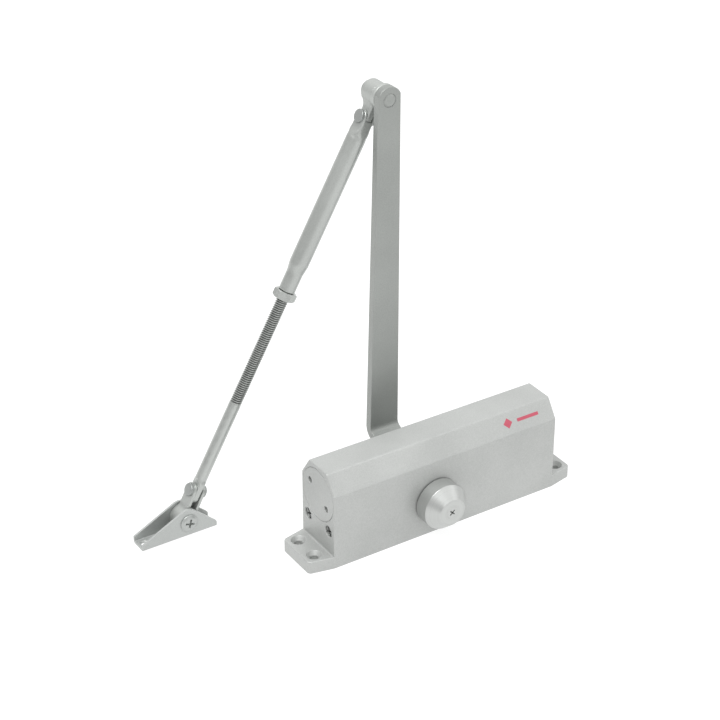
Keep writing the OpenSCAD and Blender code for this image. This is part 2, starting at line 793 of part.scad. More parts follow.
// Pivot screw: a raised head with a cross recess at the front, a nut at the back
module pivot_screw() {
    head_y = -shoe_w / 2;
    color(bright_steel) at_pivot() difference() {
        union() {
            y_rod(4.6, head_y - 1.9, head_y - 0.9, 6);
            y_rod(6, head_y - 0.9, head_y);
            y_rod(pivot_r, head_y, shoe_w / 2 + 4.6);
        }
        translate([0, head_y - 1.9, 0]) cross_recess(6.4, 1.6);
    }
}

module pivot_nut() {
    color(bright_steel) at_pivot() difference() {
        rotate([-90, 0, 0]) translate([0, 0, shoe_w / 2]) cylinder(h = 4, r = 5 / cos(30), $fn = 6);
        y_rod(pivot_r + fixed, shoe_w / 2 - over, shoe_w / 2 + 4 + over);
    }
}

housing();
end_plug_left();
end_plug_right();
plug_o_rings();
sweep_valve();
latch_valve();
valve_o_rings();
pinion_shaft();
pinion_bearing_front();
pinion_bearing_back();
pinion_seals();
bearing_nut_front();
bearing_nut_back();
pinion_cap();
cap_screw();
piston();
piston_ring();
check_ball();
check_ball_retainer();
return_spring();
spring_seat();
main_arm();
arm_washer();
arm_screw();
elbow_pin();
elbow_spacer();
elbow_knuckle();
elbow_tilt_rivet();
forearm_tube();
lock_nut();
threaded_rod();
shoe_yoke();
pivot_sleeve();
rod_end_rivet();
shoe_bracket();
pivot_screw();
pivot_nut();
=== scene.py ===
"""A surface door closer: a painted cast body with a turned cap, a folding arm, and the arm's shoe."""
import json
import math
from functools import partial

import bmesh
import bpy
from mathutils import Matrix, Vector


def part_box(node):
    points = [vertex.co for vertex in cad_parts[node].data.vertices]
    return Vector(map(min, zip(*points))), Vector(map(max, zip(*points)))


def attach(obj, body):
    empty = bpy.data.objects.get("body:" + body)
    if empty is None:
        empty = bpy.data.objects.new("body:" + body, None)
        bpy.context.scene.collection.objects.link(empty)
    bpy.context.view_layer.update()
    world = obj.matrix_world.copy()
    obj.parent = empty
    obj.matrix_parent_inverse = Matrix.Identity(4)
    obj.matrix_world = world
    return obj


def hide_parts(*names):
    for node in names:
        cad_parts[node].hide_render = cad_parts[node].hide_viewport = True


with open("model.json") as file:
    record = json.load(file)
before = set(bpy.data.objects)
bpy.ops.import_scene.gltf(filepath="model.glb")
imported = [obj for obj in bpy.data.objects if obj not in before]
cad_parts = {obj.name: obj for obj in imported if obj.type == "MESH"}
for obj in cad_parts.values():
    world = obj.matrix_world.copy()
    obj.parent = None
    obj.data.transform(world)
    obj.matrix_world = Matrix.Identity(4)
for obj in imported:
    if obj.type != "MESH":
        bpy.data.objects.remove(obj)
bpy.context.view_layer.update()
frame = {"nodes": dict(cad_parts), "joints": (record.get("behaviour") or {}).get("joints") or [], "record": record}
joints = {joint["name"]: joint for joint in frame["joints"]}
MM = 0.001

# ---- Camera and stage ------------------------------------
# A long lens a good metre away looks down on the closer from its left front corner. The floor is
# plain white paper, under a large soft lamp at the upper left, a weak one at the right, and a sky.

VIEW_TURN = math.radians(32.79)
VIEW_DROP = math.radians(30.27)
VIEW_FROM = (-0.625, -0.885, 0.748)
FOCAL_LENGTH_MM = 99.5
SENSOR_WIDTH_MM = 36
forward = Vector((math.sin(VIEW_TURN) * math.cos(VIEW_DROP),
                  math.cos(VIEW_TURN) * math.cos(VIEW_DROP), -math.sin(VIEW_DROP)))
lens = bpy.data.cameras.new("camera")
lens.sensor_width = SENSOR_WIDTH_MM
lens.lens = FOCAL_LENGTH_MM
lens.clip_end = 20
camera = bpy.data.objects.new("camera", lens)
camera.location = VIEW_FROM
camera.rotation_euler = forward.to_track_quat("-Z", "Y").to_euler()
bpy.context.scene.collection.objects.link(camera)
bpy.context.scene.camera = camera
bpy.context.scene.view_settings.view_transform = "Standard"


def srgb(code):
    """An sRGB hex colour as linear RGBA."""
    channels = [int(code[i:i + 2], 16) / 255 for i in (1, 3, 5)]
    return [c / 12.92 if c <= 0.04045 else ((c + 0.055) / 1.055) ** 2.4 for c in channels] + [1.0]


def add(tree, kind, inputs=None, **settings):
    """Adds a node: settings are its properties, inputs are values or the sockets that feed it."""
    node = tree.nodes.new(kind)
    for name, value in settings.items():
        setattr(node, name, value)
    for name, value in (inputs or {}).items():
        if isinstance(value, bpy.types.NodeSocket):
            tree.links.new(value, node.inputs[name])
        else:
            node.inputs[name].default_value = value
    return node


def maths(tree, operation, *values):
    """The output of a Math node."""
    return add(tree, "ShaderNodeMath", dict(enumerate(values)), operation=operation).outputs["Value"]


def span(tree, value, low, high, first=0.0, last=1.0):
    """Takes a value from one range to another, and holds it at the ends."""
    return add(tree, "ShaderNodeMapRange", {"Value": value, "From Min": low, "From Max": high,
                                            "To Min": first, "To Max": last}).outputs["Result"]


LAMP_TARGET = Vector((0, 0, 0.1))


def soft_lamp(name, place, width, power):
    """A square area lamp that faces the closer; the power is in watts."""
    light = bpy.data.lights.new(name, "AREA")
    light.size = width
    light.energy = power
    lamp = bpy.data.objects.new(name, light)
    lamp.location = place
    lamp.rotation_euler = (LAMP_TARGET - Vector(place)).to_track_quat("-Z", "Y").to_euler()
    bpy.context.scene.collection.objects.link(lamp)


soft_lamp("key_lamp", (-0.8, -0.3, 1.9), width=1.2, power=26)
soft_lamp("right_lamp", (1.5, -1.0, 0.9), width=0.8, power=2)

world = bpy.data.worlds.new("studio")
world.use_nodes = True
sky_tree = world.node_tree
sky_tree.nodes.clear()
# The sky is brightest overhead and dimmer to the left, so that each face of the body has its own tone.
direction = add(sky_tree, "ShaderNodeTexCoord").outputs["Generated"]
spread = add(sky_tree, "ShaderNodeSeparateXYZ", {"Vector": direction})
rise = span(sky_tree, spread.outputs["Z"], -0.1, 0.7, 0.6, 1.25)
side = span(sky_tree, spread.outputs["X"], -0.8, 0.3, 0.55, 1.0)
level = maths(sky_tree, "MULTIPLY", rise, side)
sky = add(sky_tree, "ShaderNodeBackground", {"Color": srgb("#FFFFFF"), "Strength": level})
add(sky_tree, "ShaderNodeOutputWorld", {"Surface": sky.outputs["Background"]})
bpy.context.scene.world = world

# The paper gives off a little light of its own, so it stays white where the closer shades it.
paper = bpy.data.materials.new("white_paper")
paper.use_nodes = True
paper_shader = paper.node_tree.nodes["Principled BSDF"]
paper_shader.inputs["Base Color"].default_value = srgb("#7F7F7F")
paper_shader.inputs["Roughness"].default_value = 0.9
paper_shader.inputs["Emission Color"].default_value = srgb("#FFFFFF")
paper_shader.inputs["Emission Strength"].default_value = 0.86
FLOOR_HALF = 6.0
floor_mesh = bpy.data.meshes.new("floor")
floor_corners = [(x * FLOOR_HALF, y * FLOOR_HALF, 0) for x, y in ((-1, -1), (1, -1), (1, 1), (-1, 1))]
floor_mesh.from_pydata(floor_corners, [], [(0, 1, 2, 3)])
floor_mesh.materials.append(paper)
floor = bpy.data.objects.new("floor", floor_mesh)
bpy.context.scene.collection.objects.link(floor)

# ---- Housing ---------------------------------------------
# One aluminium casting, machined where it is bored, with soft edges under a satin silver-grey
# stoved paint. It holds everything else, and four countersunk screws fix it to the door.


def noise(tree, place, size_mm, detail):
    """A cloud pattern whose features have this size."""
    return add(tree, "ShaderNodeTexNoise", {"Vector": place, "Scale": 1 / (size_mm * MM),
                                            "Detail": detail}).outputs["Fac"]


def open_material(name):
    """A new material, its empty node tree and the socket of its object coordinates."""
    material = bpy.data.materials.new(name)
    material.use_nodes = True
    tree = material.node_tree
    tree.nodes.clear()
    return material, tree, add(tree, "ShaderNodeTexCoord").outputs["Object"]


def close_material(tree, share, colours, metallic, gloss, relief):
    """Ends a material: the share mixes its two colours, and the other three come as they are."""
    tint = add(tree, "ShaderNodeMix", {"Factor": share, "A": srgb(colours[0]), "B": srgb(colours[1])},
               data_type="RGBA")
    shader = add(tree, "ShaderNodeBsdfPrincipled",
                 {"Base Color": tint.outputs["Result"], "Metallic": metallic,
                  "Roughness": gloss, "Normal": relief.outputs["Normal"]})
    add(tree, "ShaderNodeOutputMaterial", {"Surface": shader.outputs["BSDF"]})


def bump(tree, pattern, strength, height_mm):
    """A relief made from a pattern's values."""
    return add(tree, "ShaderNodeBump", {"Height": pattern, "Strength": strength,
                                        "Distance": height_mm * MM})


def silver_paint(name, colour, light_colour, metallic=0.35, roughness=0.46):
    """Stoved metallic paint: fine bright flakes in a satin coat, with a faint orange peel."""
    material, tree, place = open_material(name)
    # Flakes are drawn 0.7 mm wide, several times the real ones, which would not show at this distance.
    flakes = noise(tree, place, 0.7, 2.0)
    clouds = noise(tree, place, 45, 3.0)
    share = span(tree, maths(tree, "ADD", flakes, clouds), 0.7, 1.3)
    gloss = span(tree, clouds, 0.3, 0.7, roughness - 0.04, roughness + 0.04)
    relief = bump(tree, noise(tree, place, 1.1, 1.0), 0.12, 0.05)
    close_material(tree, share, (colour, light_colour), metallic, gloss, relief)
    return material


def fillet(points, closed=True, steps=6):
    """Rounds an outline: each point is (x, y, corner radius)."""
    outline = []
    for i, (x, y, radius) in enumerate(points):
        here = Vector((x, y))
        if radius == 0 or (not closed and i in (0, len(points) - 1)):
            outline.append(here)
            continue
        back = (Vector(points[i - 1][:2]) - here).normalized()
        ahead = (Vector(points[(i + 1) % len(points)][:2]) - here).normalized()
        half = back.angle(ahead) / 2
        reach = radius / math.tan(half)
        centre = here + (back + ahead).normalized() * radius / math.sin(half)
        first = here + back * reach - centre
        last = here + ahead * reach - centre
        start = math.atan2(first.y, first.x)
        turn = (math.atan2(last.y, last.x) - start + math.pi) % (2 * math.pi) - math.pi
        for k in range(steps + 1):
            angle = start + turn * k / steps
            outline.append(centre + radius * Vector((math.cos(angle), math.sin(angle))))
    return outline


def arc(x, y, radius, first, last, steps=12):
    """Points of a circle's arc, between two angles in degrees."""
    angles = [math.radians(first + (last - first) * k / steps) for k in range(steps + 1)]
    return [Vector((x + radius * math.cos(a), y + radius * math.sin(a))) for a in angles]


def solid(name, shape):
    """An object, in millimetres, from a finished bmesh."""
    bmesh.ops.recalc_face_normals(shape, faces=shape.faces)
    mesh = bpy.data.meshes.new(name)
    shape.to_mesh(mesh)
    shape.free()
    piece = bpy.data.objects.new(name, mesh)
    bpy.context.scene.collection.objects.link(piece)
    return piece


def skin(name, rings, closed=False):
    """Joins rings of points with faces; a ring of one point is a pole, and open ends are filled."""
    shape = bmesh.new()
    loops = [[shape.verts.new(point) for point in ring] for ring in rings]
    count = max(len(loop) for loop in loops)
    for low, high in zip(loops, loops[1:] + (loops[:1] if closed else [])):
        for k in range(count):
            following = k + 1
            corners = list(dict.fromkeys((low[k % len(low)], low[following % len(low)],
                                          high[following % len(high)], high[k % len(high)])))
            if len(corners) > 2:
                shape.faces.new(corners)
    if not closed:
        for loop in (loops[0], loops[-1]):
            if len(loop) > 2:
                shape.faces.new(loop)
    return solid(name, shape)


def lathe(name, profile, closed=False, steps=72):
    """Turns a profile of (radius, height) about Z."""
    rings = []
    for radius, height in profile:
        turns = [2 * math.pi * k / steps for k in range(steps)] if radius > 1e-6 else [0]
        rings.append([(radius * math.cos(a), radius * math.sin(a), height) for a in turns])
    return skin(name, rings, closed)


def prism(name, outline, low, high, edge=0.0, steps=3):
    """Extrudes an outline of (x, y) along Z, with its two rims rounded."""
    piece = skin(name, [[(x, y, z) for x, y in outline] for z in (low, high)])
    if edge:
        shape = bmesh.new()
        shape.from_mesh(piece.data)
        rims = [e for e in shape.edges if abs(e.verts[0].co.z - e.verts[1].co.z) < 1e-6]
        bmesh.ops.bevel(shape, geom=rims, offset=edge, segments=steps, profile=0.5, affect="EDGES")
        shape.to_mesh(piece.data)
        shape.free()
    return piece


def drill(name, radius, steps=40):
    """A round cutter on Z, long enough to pass through any of the arm's pieces."""
    return lathe(name, [(0, -9), (radius, -9), (radius, 9), (0, 9)], steps=steps)


def bake(piece):
    """Replaces a piece's mesh with what its modifiers make of it."""
    graph = bpy.context.evaluated_depsgraph_get()
    mesh = bpy.data.meshes.new_from_object(piece.evaluated_get(graph), depsgraph=graph)
    piece.modifiers.clear()
    piece.data = mesh


def carve(piece, tools, operation="DIFFERENCE"):
    """Cuts the tools from a piece, or joins them to it, and clears the tools away."""
    for tool in tools:
        cut = piece.modifiers.new("cut", "BOOLEAN")
        cut.operation = operation
        cut.solver = "EXACT"
        cut.object = tool
    bake(piece)
    for tool in tools:
        bpy.data.objects.remove(tool, do_unlink=True)
    return piece


def moved(piece, place):
    """Turns and moves a piece's mesh, still in millimetres."""
    piece.data.transform(place)
    return piece


def finish_piece(piece, material, body, slot, *nodes, smooth=32):
    """Sets a piece's scale, shading and material, and hands it to its body in place of its CAD nodes."""
    piece.data.transform(Matrix.Scale(MM, 4))
    piece.data.shade_smooth()
    piece.data.set_sharp_from_angle(angle=math.radians(smooth))
    piece.data.materials.clear()
    piece.data.materials.append(material)
    weights = piece.modifiers.new("face_weights", "WEIGHTED_NORMAL")
    weights.keep_sharp = True
    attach(piece, body)
    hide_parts(*nodes)
    return piece


def at(x, y, z):
    return Matrix.Translation((x, y, z))


def joint_at(name):
    """Where a joint is, in millimetres."""
    return Vector(joints[name]["pos_m"]) / MM


# Turns that bring a shape drawn along Z to another axis
TO_X = Matrix(((0, 0, 1, 0), (1, 0, 0, 0), (0, 1, 0, 0), (0, 0, 0, 1)))
TO_Y = Matrix(((0, 1, 0, 0), (0, 0, 1, 0), (1, 0, 0, 0), (0, 0, 0, 1)))
TO_MINUS_Y = Matrix(((1, 0, 0, 0), (0, 0, -1, 0), (0, 1, 0, 0), (0, 0, 0, 1)))
HALF_TURN = Matrix.Rotation(math.pi, 4, "Z")

housing_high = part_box("housing")[1] / MM
BODY_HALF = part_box("end_plug_right")[1].x / MM
BODY_TOP = housing_high.z
BODY_SIDE = housing_high.y
CHAMFER_Y = 8.8
CHAMFER_Z = 12.95
FLANGE_TOP = 8.85
FLANGE_SLOPE = math.tan(math.radians(12.2))
BORE_Z = (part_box("end_plug_right")[0].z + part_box("end_plug_right")[1].z) / 2 / MM
PINION = joint_at("pinion_turn")
VALVE_Y = 12.0
VALVE_Z = joints["sweep_valve_turn"]["pos_m"][2] / MM
HOLES = frame["record"]["mounts"][0]["dims"]

section = fillet([(-BODY_SIDE, 0, 0.6), (BODY_SIDE, 0, 0.6), (BODY_SIDE, BODY_TOP - CHAMFER_Z, 2.0),
                  (BODY_SIDE - CHAMFER_Y, BODY_TOP, 2.0), (CHAMFER_Y - BODY_SIDE, BODY_TOP, 2.0),
                  (-BODY_SIDE, BODY_TOP - CHAMFER_Z, 2.0)])
casting = moved(prism("housing_casting", section, -BODY_HALF, BODY_HALF, edge=0.9, steps=4), TO_X)
flange_end = housing_high.x
flange_tip_y = BODY_SIDE - (flange_end - BODY_HALF) * FLANGE_SLOPE
ROOT_X = BODY_HALF - 6
ROOT_Y = BODY_SIDE - 0.02
flange_outline = fillet([(ROOT_X, -ROOT_Y, 0), (BODY_HALF, -ROOT_Y, 0), (flange_end, -flange_tip_y, 3),
                         (flange_end, flange_tip_y, 3), (BODY_HALF, ROOT_Y, 0), (ROOT_X, ROOT_Y, 0)])
ROOT_FILLET = 1.2
root = [(BODY_HALF - 0.5, FLANGE_TOP - 0.5), (BODY_HALF + ROOT_FILLET, FLANGE_TOP - 0.5)]
root += arc(BODY_HALF + ROOT_FILLET, FLANGE_TOP + ROOT_FILLET, ROOT_FILLET, -90, -180)
root += [(BODY_HALF - 0.5, FLANGE_TOP + ROOT_FILLET)]
added = []
for turn in (Matrix(), HALF_TURN):
    added.append(moved(prism("flange", flange_outline, 0, FLANGE_TOP, edge=0.7), turn))
    added.append(moved(prism("root", root, -BODY_SIDE + 1.2, BODY_SIDE - 1.2), turn @ TO_MINUS_Y))
carve(casting, added, "UNION")

hole_r = HOLES["hole_r_mm"]
fixing_hole = fillet([(0, -2, 0), (hole_r, -2, 0), (hole_r, 6.25, 0.4), (4.95, FLANGE_TOP - 0.1, 0.5),
                      (6.0, FLANGE_TOP + 0.15, 0), (6.0, FLANGE_TOP + 4, 0), (0, FLANGE_TOP + 4, 0)],
                     closed=False)
half_x = HOLES["spacing_x_mm"] / 2
half_y = HOLES["spacing_y_mm"] / 2
tools = [moved(lathe("hole", fixing_hole), at(x, y, 0)) for x in (-half_x, half_x) for y in (-half_y, half_y)]
PISTON_BORE_R = 15
PLUG_BORE_R = 18.05
PLUG_SEAT_X = 74.4
BEARING_BORE_R = 11.6
NUT_BORE_R = 13.0
NUT_SEAT_Y = 17.95
PAST_FACE = 2
half_bore = [(PISTON_BORE_R, PLUG_SEAT_X), (PLUG_BORE_R, PLUG_SEAT_X), (PLUG_BORE_R, BODY_HALF - 0.45),
             (18.5, BODY_HALF), (18.5, BODY_HALF + PAST_FACE), (0, BODY_HALF + PAST_FACE)]
tools.append(moved(lathe("bore", [(r, -x) for r, x in half_bore[::-1]] + half_bore), at(0, 0, BORE_Z) @ TO_X))
half_cross = [(BEARING_BORE_R, NUT_SEAT_Y), (NUT_BORE_R, NUT_SEAT_Y), (NUT_BORE_R, BODY_SIDE - 0.4),
              (13.4, BODY_SIDE), (13.4, BODY_SIDE + PAST_FACE), (0, BODY_SIDE + PAST_FACE)]
tools.append(moved(lathe("cross_bore", [(r, -y) for r, y in half_cross[::-1]] + half_cross),
                   at(PINION.x, 0, PINION.z) @ TO_Y))
valve_bore = [(0, -2), (4.3, -2), (4.3, 0), (3.85, 0.45), (3.85, 18.4), (2.35, 18.4), (2.35, 28), (0, 28)]
tools += [moved(lathe("valve_bore", valve_bore, steps=40), at(-BODY_HALF, y, VALVE_Z) @ TO_X)
          for y in (-VALVE_Y, VALVE_Y)]
carve(casting, tools)

body_paint = silver_paint("silver_grey_stoved_paint", "#A8AAA8", "#B8BAB8")
finish_piece(casting, body_paint, "body", "body_paint", "housing")

# ---- End plugs -------------------------------------------
# A turned aluminium plug closes each end of the bore, painted with the body. Its two blind holes
# take a pin spanner, and the hairline round it is where it screws in.

PLUG_R = 18
plug_profile = [(0, -12, 0), (17.9, -12, 0), (17.9, -10.2, 0), (15.5, -10.2, 0), (15.5, -7.5, 0),
                (PLUG_R, -7.5, 0), (PLUG_R, 0, 0.5), (0, 0, 0)]
spanner_hole = fillet([(0, -5, 0), (2.1, -5, 0), (2.1, -0.35, 0.2), (2.6, 0.05, 0), (2.6, 2, 0), (0, 2, 0)],
                      closed=False, steps=3)
SPANNER_REACH = 11.2
SPANNER_ANGLE = math.radians(32.5)
spanner_y = SPANNER_REACH * math.cos(SPANNER_ANGLE)
spanner_z = SPANNER_REACH * math.sin(SPANNER_ANGLE)
TO_MINUS_X = HALF_TURN @ TO_X
for side, outward, name in ((-1, TO_MINUS_X, "end_plug_left"), (1, TO_X, "end_plug_right")):
    plug = moved(lathe(name + "_disc", fillet(plug_profile, closed=False, steps=3)), outward)
    carve(plug, [moved(lathe("hole", spanner_hole, steps=32),
                       at(0, end * spanner_y, end * spanner_z) @ outward) for end in (-1, 1)])
    moved(plug, at(side * BODY_HALF, 0, BORE_Z))
    finish_piece(plug, body_paint, "body", "body_paint", name)

# ---- Valves ----------------------------------------------
# Two steel needle screws under the left plug set how much oil passes. Each sits just below the
# face in its bore, with crossed slots for a driver, and is left in bare zinc.


def about_axis(tree, point, place):
    """Sockets of a point's distance from, and height along, the Z axis of a place in millimetres."""
    centred = add(tree, "ShaderNodeMapping",
                  {"Vector": point, "Location": place.to_translation() * MM, "Rotation": place.to_euler()},
                  vector_type="TEXTURE").outputs["Vector"]
    flat = add(tree, "ShaderNodeVectorMath", {0: centred, 1: (1, 1, 0)}, operation="MULTIPLY")
    reach = add(tree, "ShaderNodeVectorMath", {0: flat.outputs["Vector"]}, operation="LENGTH")
    return reach.outputs["Value"], add(tree, "ShaderNodeSeparateXYZ", {"Vector": centred}).outputs["Z"]


def turned_metal(name, colour, light_colour, place, roughness=0.3, metallic=1.0, line_mm=0.5, depth=0.35):
    """Metal off a lathe: fine grooves run round the Z axis of the place, which is in millimetres."""
    material, tree, point = open_material(name)
    reach, along = about_axis(tree, point, place)
    spot = add(tree, "ShaderNodeCombineXYZ", {"X": reach, "Y": along})
    # The feed of the tool is drawn coarser than the real 0.1 mm, which would not show at this distance.
    grooves = noise(tree, spot.outputs["Vector"], line_mm, 2.0)
    relief = bump(tree, grooves, depth, 0.1)
    gloss = span(tree, grooves, 0.0, 1.0, roughness - 0.05, roughness + 0.05)
    close_material(tree, grooves, (colour, light_colour), metallic, gloss, relief)
    return material


VALVE_PROFILE = [(0, -24.4, 0), (0.7, -24.4, 0.2), (2.1, -20.4, 0), (2.1, -15.2, 0), (3.75, -15.2, 0.2),
                 (3.75, -1.0, 0.4), (0, -1.0, 0)]


def bar(name, size, centre=(0, 0, 0)):
    """A plain block, for cutting."""
    x, y, z = [side / 2 for side in size]
    return moved(prism(name, [(-x, -y), (x, -y), (x, y), (-x, y)], -z, z), at(*centre))


for y, name in ((-VALVE_Y, "sweep_valve"), (VALVE_Y, "latch_valve")):
    place = at(-BODY_HALF, y, VALVE_Z) @ TO_MINUS_X
    needle = lathe(name + "_screw", fillet(VALVE_PROFILE, closed=False, steps=3), steps=40)
    carve(needle, [bar("slot", (9, 1.2, 3), (0, 0, -1.0)), bar("slot", (1.2, 9, 3), (0, 0, -1.0))])
    moved(needle, place @ Matrix.Rotation(math.radians(25), 4, "Z"))
    zinc = turned_metal("turned_zinc_plated_steel_" + name, "#8F9190", "#A9AAA8", place)
    finish_piece(needle, zinc, name, "bright_steel", name)

# ---- Pinion cap and its screw ----------------------------
# The cap is turned from aluminium bar and clear lacquered, so the tool's rings catch the light. It
# covers the free end of the pinion, and a countersunk cross-head screw holds it there.

CAP_BASE = 19.9
CAP_SHOULDER = 29.5
CAP_FACE = 37.1
FRONT = at(PINION.x, 0, PINION.z) @ TO_MINUS_Y
CAP_R = 16
cap_profile = [(CAP_R, CAP_BASE, 0.3), (CAP_R, CAP_SHOULDER, 0.5), (9.4, CAP_FACE, 0.35),
               (4.48, CAP_FACE, 0.04), (2.6, 35.0, 0), (2.6, 32.3, 0), (7.9, 32.3, 0), (7.9, 24, 0),
               (14.2, 24, 0), (14.2, CAP_BASE, 0.2)]
cap = moved(lathe("turned_pinion_cap", fillet(cap_profile), closed=True, steps=128), FRONT)
cap_metal = turned_metal("turned_lacquered_aluminium", "#AFB1AF", "#C9CBC9", FRONT, roughness=0.38,
                         metallic=0.8, line_mm=0.55, depth=0.5)
finish_piece(cap, cap_metal, "pinion", "turned_aluminium", "pinion_cap", smooth=25)


def cross_recess(width, depth, angle):
    """A cutter for a cross-head recess in the plane z = 0, narrower at its bottom."""
    wide, thin = width / 2, width / 10
    outline = [(wide, -thin), (wide, thin), (thin, thin), (thin, wide), (-thin, wide), (-thin, thin),
               (-wide, thin), (-wide, -thin), (-thin, -thin), (-thin, -wide), (thin, -wide), (thin, -thin)]
    rings = [[(x * share, y * share, z) for x, y in outline]
             for share, z in ((1.1, depth / 2), (1.0, 0), (0.7, -depth))]
    return moved(skin("recess", rings), Matrix.Rotation(math.radians(angle), 4, "Z"))


SCREW_FACE = CAP_FACE - 0.03
screw_profile = [(0, 22.5, 0), (2.4, 22.5, 0.3), (2.4, 34.9, 0), (4.44, SCREW_FACE, 0.04), (0, SCREW_FACE, 0)]
screw = lathe("cap_screw_countersunk", fillet(screw_profile, closed=False, steps=3), steps=64)
carve(screw, [moved(cross_recess(4.6, 2.6, 45), at(0, 0, SCREW_FACE))])
moved(screw, FRONT)
finish_piece(screw, cap_metal, "pinion", "bright_steel", "cap_screw")

# ---- Main arm --------------------------------------------
# A tapered bar of flat steel, joggled cold over two bends so that it clears the body, punched for
# the pinion's square and the elbow pin, then tumbled and painted silver.

ELBOW = joint_at("elbow_swing")
ARM_TILT = math.atan2(ELBOW.x - PINION.x, ELBOW.z - PINION.z)
ARM_LEN = math.hypot(ELBOW.x - PINION.x, ELBOW.z - PINION.z)
HUB_R = 12.5
ARM_LOW_W = 22.25
ARM_TOP_W = 16.1
ARM_THK = 5.5
HUB_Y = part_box("main_arm")[0].y / MM
ARM_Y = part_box("main_arm")[1].y / MM - ARM_THK
BEND_R = 7.0
JOGGLE_FROM = 11.0
JOGGLE_TO = 21.0
AT_ARM = at(PINION.x, 0, PINION.z) @ Matrix.Rotation(ARM_TILT, 4, "Y")

bend = math.atan2(ARM_Y - HUB_Y, JOGGLE_TO - JOGGLE_FROM)
tangent = BEND_R * math.tan(bend / 2)
slope_len = math.hypot(ARM_Y - HUB_Y, JOGGLE_TO - JOGGLE_FROM) - 2 * tangent
first_bend = JOGGLE_FROM - tangent
arc_len = BEND_R * bend
second_bend = first_bend + arc_len + slope_len
upright = second_bend + arc_len
EXTRA = upright - (JOGGLE_TO + tangent)
centre_y = HUB_Y + ARM_THK / 2


def slice_across(shape, point, normal):
    """Adds a row of edges where a plane crosses a bmesh, so that it can bend there."""
    everything = shape.verts[:] + shape.edges[:] + shape.faces[:]
    bmesh.ops.bisect_plane(shape, geom=everything, dist=1e-5, plane_co=point, plane_no=normal)


def arm_line(s):
    """Where the bar's centre line is after a length s from the pinion: (y, z, slope)."""
    if s <= first_bend:
        return centre_y, s, 0
    if s <= first_bend + arc_len:
        a = (s - first_bend) / BEND_R
        return centre_y + BEND_R * (1 - math.cos(a)), first_bend + BEND_R * math.sin(a), a
    y = centre_y + BEND_R * (1 - math.cos(bend))
    z = first_bend + BEND_R * math.sin(bend)
    if s <= second_bend:
        run = s - first_bend - arc_len
        return y + run * math.sin(bend), z + run * math.cos(bend), bend
    y += slope_len * math.sin(bend)
    z += slope_len * math.cos(bend)
    if s <= upright:
        a = bend - (s - second_bend) / BEND_R
        return (y + BEND_R * (math.cos(a) - math.cos(bend)), z + BEND_R * (math.sin(bend) - math.sin(a)), a)
    return ARM_Y + ARM_THK / 2, s - EXTRA, 0


low_half = ARM_LOW_W / 2
top_half = ARM_TOP_W / 2
TOP_R = 8.7
hub_corner = math.degrees(math.acos(low_half / HUB_R))
top_corner = math.degrees(math.acos(top_half / TOP_R))
straight_half = low_half + (top_half - low_half) * (JOGGLE_TO + tangent) / ARM_LEN
top_s = ARM_LEN + EXTRA
plate = arc(0, 0, HUB_R, 180 - hub_corner, 360 + hub_corner, 36)
plate += [(straight_half, upright)]
plate += arc(0, top_s, TOP_R, top_corner, 180 - top_corner, 24)
plate += [(-straight_half, upright)]
arm = prism("main_arm_bar", plate, -ARM_THK / 2, ARM_THK / 2, edge=0.55, steps=3)
nose_hole = [(0, -9), (4.5, -9), (4.5, -ARM_THK / 2), (4.33, -ARM_THK / 2 + 0.2), (4.33, 9), (0, 9)]
carve(arm, [bar("square", (11.04, 11.04, 20)),
            moved(lathe("nose_hole", nose_hole, steps=64), at(0, top_s, 0))])
sheet = bmesh.new()
sheet.from_mesh(arm.data)
cuts = [bend_start + arc_len * k / 10 for bend_start in (first_bend, second_bend) for k in range(11)]
cuts += [upright + (top_s - upright) * k / 8 for k in range(1, 8)]
for s in cuts:
    slice_across(sheet, (0, s, 0), (0, 1, 0))
for vert in sheet.verts:
    x, s, depth = vert.co
    y, z, slope = arm_line(s)
    vert.co = (x, y + depth * math.cos(slope), z - depth * math.sin(slope))
bmesh.ops.recalc_face_normals(sheet, faces=sheet.faces)
sheet.to_mesh(arm.data)
sheet.free()
moved(arm, AT_ARM)
arm_paint = silver_paint("silver_paint_on_steel", "#8D908D", "#9B9E9B", metallic=0.4, roughness=0.42)
finish_piece(arm, arm_paint, "pinion", "arm_paint", "main_arm", smooth=40)

# ---- Elbow pin and spacer --------------------------------
# The pin is riveted into the arm, which leaves a shallow dome in a ring-shaped gap on the front.
# The spacer is a painted steel collar that holds the knuckle clear of the arm.

BACK = at(ELBOW.x, 0, ELBOW.z) @ TO_Y
KNUCKLE_HALF = 6.0
SIDE_GAP = 0.3
PIN_R = 4.6
pin_back = ELBOW.y + KNUCKLE_HALF + SIDE_GAP
arm_back = ARM_Y + ARM_THK
pin_profile = [(0, ARM_Y - 0.5, 0), (3.2, ARM_Y - 0.45, 1.5), (4.28, ARM_Y + 0.15, 0.2), (4.28, arm_back, 0),
               (PIN_R, arm_back, 0), (PIN_R, pin_back, 0), (6, pin_back, 0.2), (6, pin_back + 2, 0.9),
               (0, pin_back + 2, 0)]
pin = moved(lathe("elbow_pin_riveted", fillet(pin_profile, closed=False)), BACK)
pin_metal = turned_metal("painted_turned_steel", "#8E918E", "#A0A3A0", BACK, roughness=0.42, metallic=0.45,
                         line_mm=0.7, depth=0.25)
finish_piece(pin, pin_metal, "pinion", "bright_steel", "elbow_pin")

